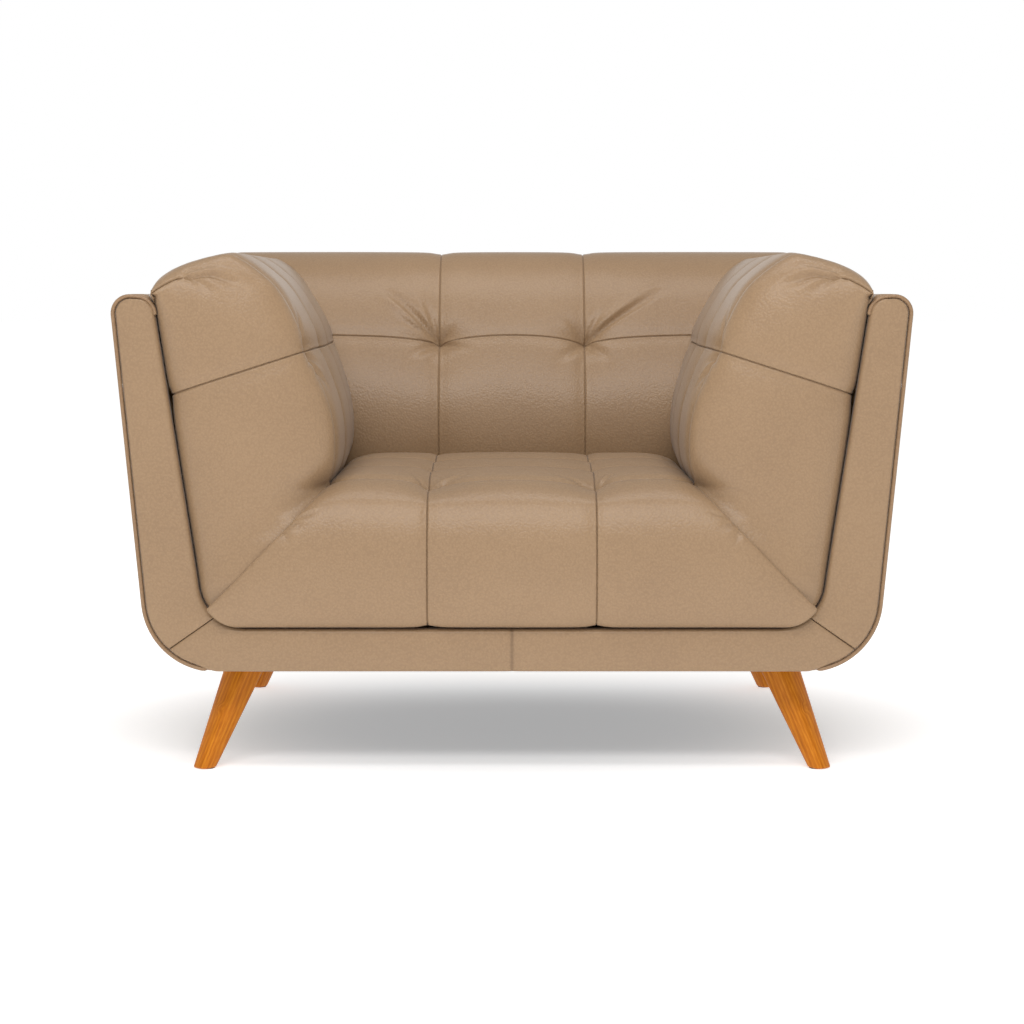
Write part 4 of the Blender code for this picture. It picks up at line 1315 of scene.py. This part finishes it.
def open_tree(name: str, sizes: Sequence[str]) -> tuple[bpy.types.NodeTree, bpy.types.Node, bpy.types.Node]:
    """A Geometry Nodes tree with named sizes, its input node, and the guide's edges as a curve."""
    tree = bpy.data.node_groups.new(name, "GeometryNodeTree")
    tree.interface.new_socket("Geometry", in_out="INPUT", socket_type="NodeSocketGeometry")
    for label in sizes:
        tree.interface.new_socket(label, in_out="INPUT", socket_type="NodeSocketFloat")
    tree.interface.new_socket("Geometry", in_out="OUTPUT", socket_type="NodeSocketGeometry")
    start = add_node(tree, "NodeGroupInput")
    curve = add_node(tree, "GeometryNodeMeshToCurve", inputs={"Mesh": start.outputs["Geometry"]})
    return tree, start, curve


def close_tree(tree: bpy.types.NodeTree, made: bpy.types.NodeSocket, material: bpy.types.Material) -> None:
    """Make what a Geometry Nodes tree has built real, give it its finish and put it out."""
    real = add_node(tree, "GeometryNodeRealizeInstances", inputs={"Geometry": made})
    finish = add_node(tree, "GeometryNodeSetMaterial",
                      inputs={"Geometry": real.outputs["Geometry"], "Material": material})
    add_node(tree, "NodeGroupOutput", inputs={"Geometry": finish.outputs["Geometry"]})


def sweep_cord(name: str, path: Sequence[Vector], radius: float,
               material: bpy.types.Material) -> bpy.types.Object:
    """A leather-wrapped cord along a path, made with Geometry Nodes.

    Args:
        name: The piece's name.
        path: Points of the cord's middle line.
        radius: The cord's radius.
        material: Its finish.

    Returns:
        A plain mesh piece.
    """
    mesh = bpy.data.meshes.new(f"{name}_path")
    mesh.from_pydata([tuple(p) for p in path], [(i, i + 1) for i in range(len(path) - 1)], [])
    guide = new_piece(f"{name}_guide", mesh)
    tree, start, curve = open_tree(f"{name}_nodes", ("Cord radius", "Ring spacing"))
    even = add_node(tree, "GeometryNodeResampleCurve", {"mode": "LENGTH"},
                    {"Curve": curve.outputs["Curve"], "Length": start.outputs["Ring spacing"]})
    ring = add_node(tree, "GeometryNodeCurvePrimitiveCircle",
                    inputs={"Resolution": 14, "Radius": start.outputs["Cord radius"]})
    tube = add_node(tree, "GeometryNodeCurveToMesh",
                    inputs={"Curve": even.outputs["Curve"], "Profile Curve": ring.outputs["Curve"],
                            "Fill Caps": True})
    smooth = add_node(tree, "GeometryNodeSetShadeSmooth", inputs={"Geometry": tube.outputs["Mesh"]})
    close_tree(tree, smooth.outputs["Geometry"], material)
    made = grow(guide, tree, {"Cord radius": radius, "Ring spacing": 0.004})
    made.name = name
    form = bmesh.new()
    form.from_mesh(made)
    bmesh.ops.remove_doubles(form, verts=form.verts, dist=0.00001)
    bmesh.ops.recalc_face_normals(form, faces=form.faces)
    form.to_mesh(made)
    form.free()
    piece = new_piece(name, made)
    dress(piece, material)
    return piece


# ------------------------------------------------------------------ outer panels
@dataclass
class OuterPanels:
    """Padded leather on the outside of the arms and the back."""

    leather: bpy.types.Material
    seam_height: float = 0.580
    bulge: float = 0.0030
    thickness: float = 0.007

    def arm_profile(self) -> Profile:
        """Outline in (x, z) from under the shell round the corner and over the arm top."""
        out_c = PLAN.outer_centre()
        end_out = -math.atan(PLAN.arm_lean)
        points: list[Point2] = [(out_c[0] - 0.004, PLAN.bottom)]
        for k in range(25):
            a = -math.pi / 2 + (math.pi / 2 + end_out) * k / 24
            points.append((out_c[0] + PLAN.corner * math.cos(a), out_c[1] + PLAN.corner * math.sin(a)))
        cx, top_out = PLAN.top_centre()
        points.append((PLAN.wall(top_out), top_out))
        for k in range(1, 13):
            a = end_out + (math.pi / 2 - end_out) * k / 12
            points.append((cx + PLAN.top_corner * math.cos(a), top_out + PLAN.top_corner * math.sin(a)))
        points += [(0.540, PLAN.top), (0.5320, PLAN.top - 0.0020), (0.5275, PLAN.top - 0.0075),
                   (0.5262, PLAN.top - 0.0180)]
        rough = Profile(np.array(points))
        return Profile(np.column_stack(rough.at(np.linspace(0.0, rough.total, 400))))

    def build(self) -> list[bpy.types.Object]:
        """Make both outer arms and the outer back."""
        profile = self.arm_profile()
        front = PLAN.front + 0.0122
        depth = 0.82

        def shape(u: Array, v: Array) -> Array:
            """Points of the plain right outer arm."""
            x, z = profile.at(v)
            rear = np.array([[PLAN.rear(h) for h in row] for row in z]) - 0.0012
            y = front + (rear - front) * u / depth
            points = np.stack([x, y, z], axis=-1)
            share_u = np.clip(u / depth, 0, 1)
            upright = smoothstep(0.16, 0.26, z) * (1 - smoothstep(0.66, 0.705, z))
            swell = self.bulge * (1 - (2 * share_u - 1) ** 4) * upright
            tuck = 0.0040 * edge_round(np.minimum(u, depth - u), 0.006)
            return points + grid_normals(points) * (swell - tuck)[..., None]

        seam = profile.nearest((PLAN.wall(self.seam_height), self.seam_height))
        sewing = Sewing(along=[Seam(seam, valley=0.0022, reach=0.014, groove=0.0014)])
        surface = PaddedSurface(shape, (0.0, depth), (0.0, profile.total), sewing, coarse=0.007)
        right, seam_dye_and_shade = surface.points()
        pieces = []
        for side, points, flip in (("right", right, False), ("left", mirrored(right), True)):
            piece = grid_piece(f"{side}_outer_arm_panel", points, flip=flip, seam_dye_and_shade=seam_dye_and_shade)
            self.thicken(piece)
            dress(piece, self.leather)
            place_piece(piece, [f"{side}_outer_arm"])
            pieces.append(piece)
        pieces.append(self.back_panel())
        return pieces

    def thicken(self, piece: bpy.types.Object) -> None:
        """Give a panel its padding's thickness, inwards."""
        wall = piece.modifiers.new("leather_and_padding", "SOLIDIFY")
        wall.thickness = self.thickness
        wall.offset = -1.0

    def back_panel(self) -> bpy.types.Object:
        """Make the outer back, which closes the shell behind."""
        profile = self.arm_profile()
        rows = graded_lines(PLAN.bottom + 0.0015, PLAN.top - 0.0015, [self.seam_height], 0.008)
        keep = profile.points[: int(np.argmax(profile.points[:, 1])) + 1]
        half = np.interp(rows, keep[:, 1], keep[:, 0]) - 0.0012
        share = np.linspace(-1.0, 1.0, 121)
        share = np.sign(share) * (1 - (1 - np.abs(share)) ** 1.35)
        x = share[:, None] * half[None, :]
        z = np.broadcast_to(rows[None, :], x.shape)
        rear = np.array([PLAN.rear(h) for h in rows])[None, :]
        edge_x = (1 - np.abs(share))[:, None] * half[None, :]
        edge_z = np.minimum(rows - rows[0], rows[-1] - rows)[None, :]
        edge = np.minimum(edge_x, edge_z)
        tuck = 0.0045 * edge_round(edge, 0.007)
        swell = self.bulge * smoothstep(0.0, 0.10, edge)
        seam = z - self.seam_height
        drawn = 0.0022 * wide_valley(seam, 0.014) + 0.0014 * line_mark(seam, 0.0011)
        y = rear - 0.0008 + swell - tuck - drawn * smoothstep(0.0, 0.004, edge)
        seam_dye_and_shade = line_mark(seam, 0.0011)
        piece = grid_piece("outer_back_panel", np.stack([x, y, z], axis=-1), flip=True, seam_dye_and_shade=seam_dye_and_shade)
        self.thicken(piece)
        dress(piece, self.leather)
        place_piece(piece, ["outer_back"])
        return piece


# ------------------------------------------------------------------ legs
@dataclass
class Legs:
    """Four tapered legs with a soft square section turned on its corner."""

    top_radius: float = 0.0318
    foot_radius: float = 0.0170
    squareness: float = 3.0
    foot_round: float = 0.0030

    def build(self) -> list[bpy.types.Object]:
        """Make the four legs from the places of the CAD legs."""
        pieces = []
        for side in ("left", "right"):
            for place in ("front", "rear"):
                node = f"{side}_{place}_leg"
                foot = node_middle(f"{side}_{place}_glide")
                bolt = node_middle(f"{side}_{place}_hanger_bolt")
                top = Vector((bolt.x, bolt.y, node_high(node).z))
                foot.z = node_low(node).z
                foot.x *= 1.010                      # the splayed foot stands a little further out
                piece = self.leg(f"{node}_turning", top, foot)
                axis = (top - foot).normalized()
                outwards = math.copysign(1.0, foot.x)
                knot = foot.lerp(top, 0.56) + Vector((outwards * 0.014, -0.020, 0.0))
                look = Timber(TimberLook.HONEY_LEG, along=tuple(axis), knot=tuple(knot))
                dress(piece, look.make(f"honey_stained_{side}_{place}_leg"))
                place_piece(piece, [node])
                pieces.append(piece)
        return pieces

    def leg(self, name: str, top: Vector, foot: Vector) -> bpy.types.Object:
        """One leg between the middles of its top and its foot, which has a recess for the glide."""
        around = 56
        angles = np.linspace(0.0, 2 * math.pi, around, endpoint=False)
        power = self.squareness
        section = (np.abs(np.cos(angles)) ** power + np.abs(np.sin(angles)) ** power) ** (-1 / power)
        section = section / section.max()
        turned = angles + math.pi / 4                # the ridges face forwards and sideways
        lowest = 0.0008
        height = top.z - lowest
        lift = np.concatenate([[0.0, 0.0005, 0.0012, 0.0022, 0.0034], np.linspace(0.006, height, 34)])
        recess = [(0.0128, 0.0058), (0.0128, 0.0)]   # radius and lift of the glide's pocket
        rings = []
        for radius, up in recess:
            rings.append([(foot.x + radius * math.cos(t), foot.y + radius * math.sin(t), lowest + up)
                          for t in turned])
        for up in lift:
            share = up / height
            radius = self.foot_radius + (self.top_radius - self.foot_radius) * share
            cut = self.foot_round * edge_round(up, self.foot_round)
            middle = foot.lerp(top, share)
            rings.append([(middle.x + (radius * b - cut) * math.cos(t),
                           middle.y + (radius * b - cut) * math.sin(t), lowest + up)
                          for b, t in zip(section, turned)])
        points = np.array(rings).transpose(1, 0, 2)
        piece = grid_piece(name, points, flip=False, loop=Loop.U)
        piece.data.set_sharp_from_angle(angle=math.radians(50))
        return piece


# ------------------------------------------------------------------ carried-over frame pieces
@dataclass
class HiddenWorks:
    """Frame, springs, clips, bolts, glides and dust cover, which keep their CAD shape."""

    finish: dict[PlainKind, bpy.types.Material]

    def build(self) -> None:
        """Give every CAD node that stays its own real finish."""
        beech_x = Timber(TimberLook.BEECH, along=(1, 0, 0), line_mm=7.0).make("sawn_beech_crosswise")
        beech_y = Timber(TimberLook.BEECH, along=(0, 1, 0), line_mm=7.0).make("sawn_beech_lengthwise")
        beech_z = Timber(TimberLook.BEECH, along=(0, 0, 1), line_mm=7.0).make("sawn_beech_upright")
        ply = Timber(TimberLook.PLYWOOD, along=(0, 0, 1), line_mm=9.0).make()
        rules: list[tuple[str, bpy.types.Material]] = [
            ("base_front_rail", beech_x), ("base_rear_rail", beech_x), ("back_top_rail", beech_x),
            ("base_left_rail", beech_y), ("base_right_rail", beech_y), ("arm_rail", beech_y),
            ("corner_block", beech_x), ("post", beech_z), ("board", ply),
            ("spring_clip", self.finish[PlainKind.ZINC]), ("seat_spring", self.finish[PlainKind.SPRING]),
            ("hanger_bolt", self.finish[PlainKind.ZINC]), ("glide", self.finish[PlainKind.NYLON]),
            ("dust_cover", self.finish[PlainKind.CAMBRIC]), ("foam", self.finish[PlainKind.FOAM]),
        ]
        for name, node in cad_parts.items():
            match = next((m for key, m in rules if key in name), None)
            if match is not None:
                for entry in node.material_slots:
                    entry.material = match
                if not node.material_slots:
                    node.data.materials.append(match)


@dataclass
class CoverStaples:
    """Wire staples that hold the dust cover to the base rails, all round its edge."""

    zinc: bpy.types.Material
    inset: float = 0.009          # from the cover's edge to the staples
    spacing: float = 0.038
    crown: float = 0.0100
    wire: float = 0.0010

    def build(self) -> bpy.types.Object:
        """Set one staple after another along a loop inside the cover's edge."""
        low, high = node_low("dust_cover"), node_high("dust_cover")
        left, front = low.x + self.inset, low.y + self.inset
        right, rear = high.x - self.inset, high.y - self.inset
        corners = [(left, front, low.z), (right, front, low.z), (right, rear, low.z), (left, rear, low.z)]
        mesh = bpy.data.meshes.new("staple_line")
        mesh.from_pydata(corners, [(0, 1), (1, 2), (2, 3), (3, 0)], [])
        guide = new_piece("staple_guide", mesh)
        sizes = {"Staple spacing": self.spacing, "Crown length": self.crown, "Wire thickness": self.wire}
        made = grow(guide, self.nodes(tuple(sizes)), sizes)
        made.name = "dust_cover_staples"
        piece = new_piece("dust_cover_staples", made)
        dress(piece, self.zinc)
        place_piece(piece, [])
        return piece

    def nodes(self, labels: Sequence[str]) -> bpy.types.NodeTree:
        """The tree that lays staples along the guide, each in line with it."""
        tree, start, curve = open_tree("staple_nodes", labels)
        points = add_node(tree, "GeometryNodeCurveToPoints", {"mode": "LENGTH"},
                          {"Curve": curve.outputs["Curve"], "Length": start.outputs["Staple spacing"]})
        size = add_node(tree, "ShaderNodeCombineXYZ",
                        inputs={"X": start.outputs["Wire thickness"], "Y": start.outputs["Wire thickness"],
                                "Z": start.outputs["Crown length"]})
        staple = add_node(tree, "GeometryNodeMeshCube", inputs={"Size": size.outputs["Vector"]})
        laid = add_node(tree, "GeometryNodeInstanceOnPoints",
                        inputs={"Points": points.outputs["Points"], "Instance": staple.outputs["Mesh"],
                                "Rotation": points.outputs["Rotation"]})
        close_tree(tree, laid.outputs["Instances"], self.zinc)
        return tree


# ------------------------------------------------------------------ stage, lights and camera
@dataclass
class Studio:
    """Pale floor, white surround, soft lights and the camera."""

    lens: float = 82.53
    eye: tuple[float, float, float] = (0.0, -3.85, 0.711)
    pitch: float = 5.257
    ambient: float = 0.35                             # strength of the surround overhead
    painted_shadow_glow: tuple[float, float] = (0.31, 0.72)          # floor's own glow under the chair, kept low there as a painted shadow, and away from it
    painted_shadow_glow_reach: tuple[float, float] = (0.16, 0.66)    # distances between which it fades up
    painted_shadow_glow_oval: float = 0.56                           # depth of the glow's oval over its width

    def build(self) -> None:
        """Set up the stage."""
        scene = bpy.context.scene
        scene.view_settings.view_transform = "Standard"
        camera_data = bpy.data.cameras.new("studio_camera")
        camera_data.lens = self.lens
        camera_data.sensor_width = 36.0
        camera = bpy.data.objects.new("studio_camera", camera_data)
        camera.location = self.eye
        camera.rotation_euler = (math.radians(90 - self.pitch), 0.0, 0.0)
        scene.collection.objects.link(camera)
        scene.camera = camera
        self.floor()
        self.surround()
        self.light("overhead_softbox", (0.0, -0.25, 3.0), (0.0, 0.1, 0.4), (2.4, 0.5), 24.0)
        self.light("high_strip", (0.0, -2.1, 3.0), (0.0, 0.1, 0.5), (3.2, 0.45), 26.0)
        self.light("front_softbox", (-0.4, -3.9, 3.2), (0.0, 0.0, 0.4), (3.6, 0.8), 82.0)

    def floor(self) -> None:
        """A large pale floor that glows though it is no lamp; its glow is dimmer in an oval under the chair,
        a painted shadow, and fades up to white away from it.
        """
        mesh = bpy.data.meshes.new("floor")
        size = 60.0
        corners = [(-size, -size, 0), (size, -size, 0), (size, size, 0), (-size, size, 0)]
        mesh.from_pydata(corners, [], [(0, 1, 2, 3)])
        floor = new_piece("floor", mesh)
        material, tree, shader = blank_material("glowing_floor_with_painted_shadow")
        place = add_node(tree, "ShaderNodeTexCoord").outputs["Object"]
        oval = add_node(tree, "ShaderNodeVectorMath", {"operation": "MULTIPLY"},
                        {0: place, 1: (self.painted_shadow_glow_oval, 1.0, 1.0)})
        away = add_node(tree, "ShaderNodeVectorMath", {"operation": "LENGTH"}, {0: oval.outputs[0]})
        # painted shadow: the floor's own glow is low under the chair and rises to white away from it
        painted_shadow_glow = add_node(tree, "ShaderNodeMapRange", {"interpolation_type": "SMOOTHSTEP"},
                        {"Value": away.outputs["Value"],
                         "From Min": self.painted_shadow_glow_reach[0], "From Max": self.painted_shadow_glow_reach[1],
                         "To Min": self.painted_shadow_glow[0], "To Max": self.painted_shadow_glow[1]})
        shader.inputs["Base Color"].default_value = (0.84, 0.84, 0.84, 1.0)
        shader.inputs["Roughness"].default_value = 0.9
        shader.inputs["Specular IOR Level"].default_value = 0.0
        shader.inputs["Emission Color"].default_value = (1.0, 1.0, 1.0, 1.0)
        tree.links.new(painted_shadow_glow.outputs["Result"], shader.inputs["Emission Strength"])
        dress(floor, material)

    def surround(self) -> None:
        """A surround that is white at the horizon and dimmer overhead, so that shading keeps its contrast."""
        world = bpy.data.worlds.new("white_surround")
        bpy.context.scene.world = world
        world.use_nodes = True
        tree = world.node_tree
        place = add_node(tree, "ShaderNodeTexCoord").outputs["Generated"]
        height = add_node(tree, "ShaderNodeSeparateXYZ", inputs={"Vector": place}).outputs["Z"]
        level = add_node(tree, "ShaderNodeMapRange", {"interpolation_type": "SMOOTHSTEP"},
                         {"Value": height, "From Min": 0.17, "From Max": 0.45,
                          "To Min": 1.0, "To Max": self.ambient})
        background = tree.nodes["Background"]
        background.inputs["Color"].default_value = (1.0, 1.0, 1.0, 1.0)
        tree.links.new(level.outputs["Result"], background.inputs["Strength"])

    @staticmethod
    def light(name: str, place: tuple[float, float, float], target: tuple[float, float, float],
              size: tuple[float, float], power: float) -> None:
        """A rectangular soft light that faces a target."""
        data = bpy.data.lights.new(name, "AREA")
        data.shape = "RECTANGLE"
        data.size, data.size_y = size
        data.energy = power
        light = bpy.data.objects.new(name, data)
        light.location = place
        light.rotation_euler = (Vector(target) - Vector(place)).to_track_quat("-Z", "Y").to_euler()
        bpy.context.scene.collection.objects.link(light)


def main() -> None:
    """Build the chair and the studio."""
    logging.basicConfig(level=logging.INFO, format="%(name)s: %(message)s")
    Studio().build()
    leather = PebbledLeather().make()
    welt_leather = PebbledLeather(name="tan_welt_leather", light="98795a", mid="8d7053", deep="7d6248").make()
    back = BackPad(leather)
    Seat(leather).build()
    back.build()
    ArmPads(leather, back).build()
    Borders(leather, welt_leather).build()
    OuterPanels(leather).build()
    Legs().build()
    finish = {kind: PlainFinish(kind).make() for kind in PlainKind}
    HiddenWorks(finish).build()
    CoverStaples(finish[PlainKind.ZINC]).build()


if __name__ == "__main__":
    main()
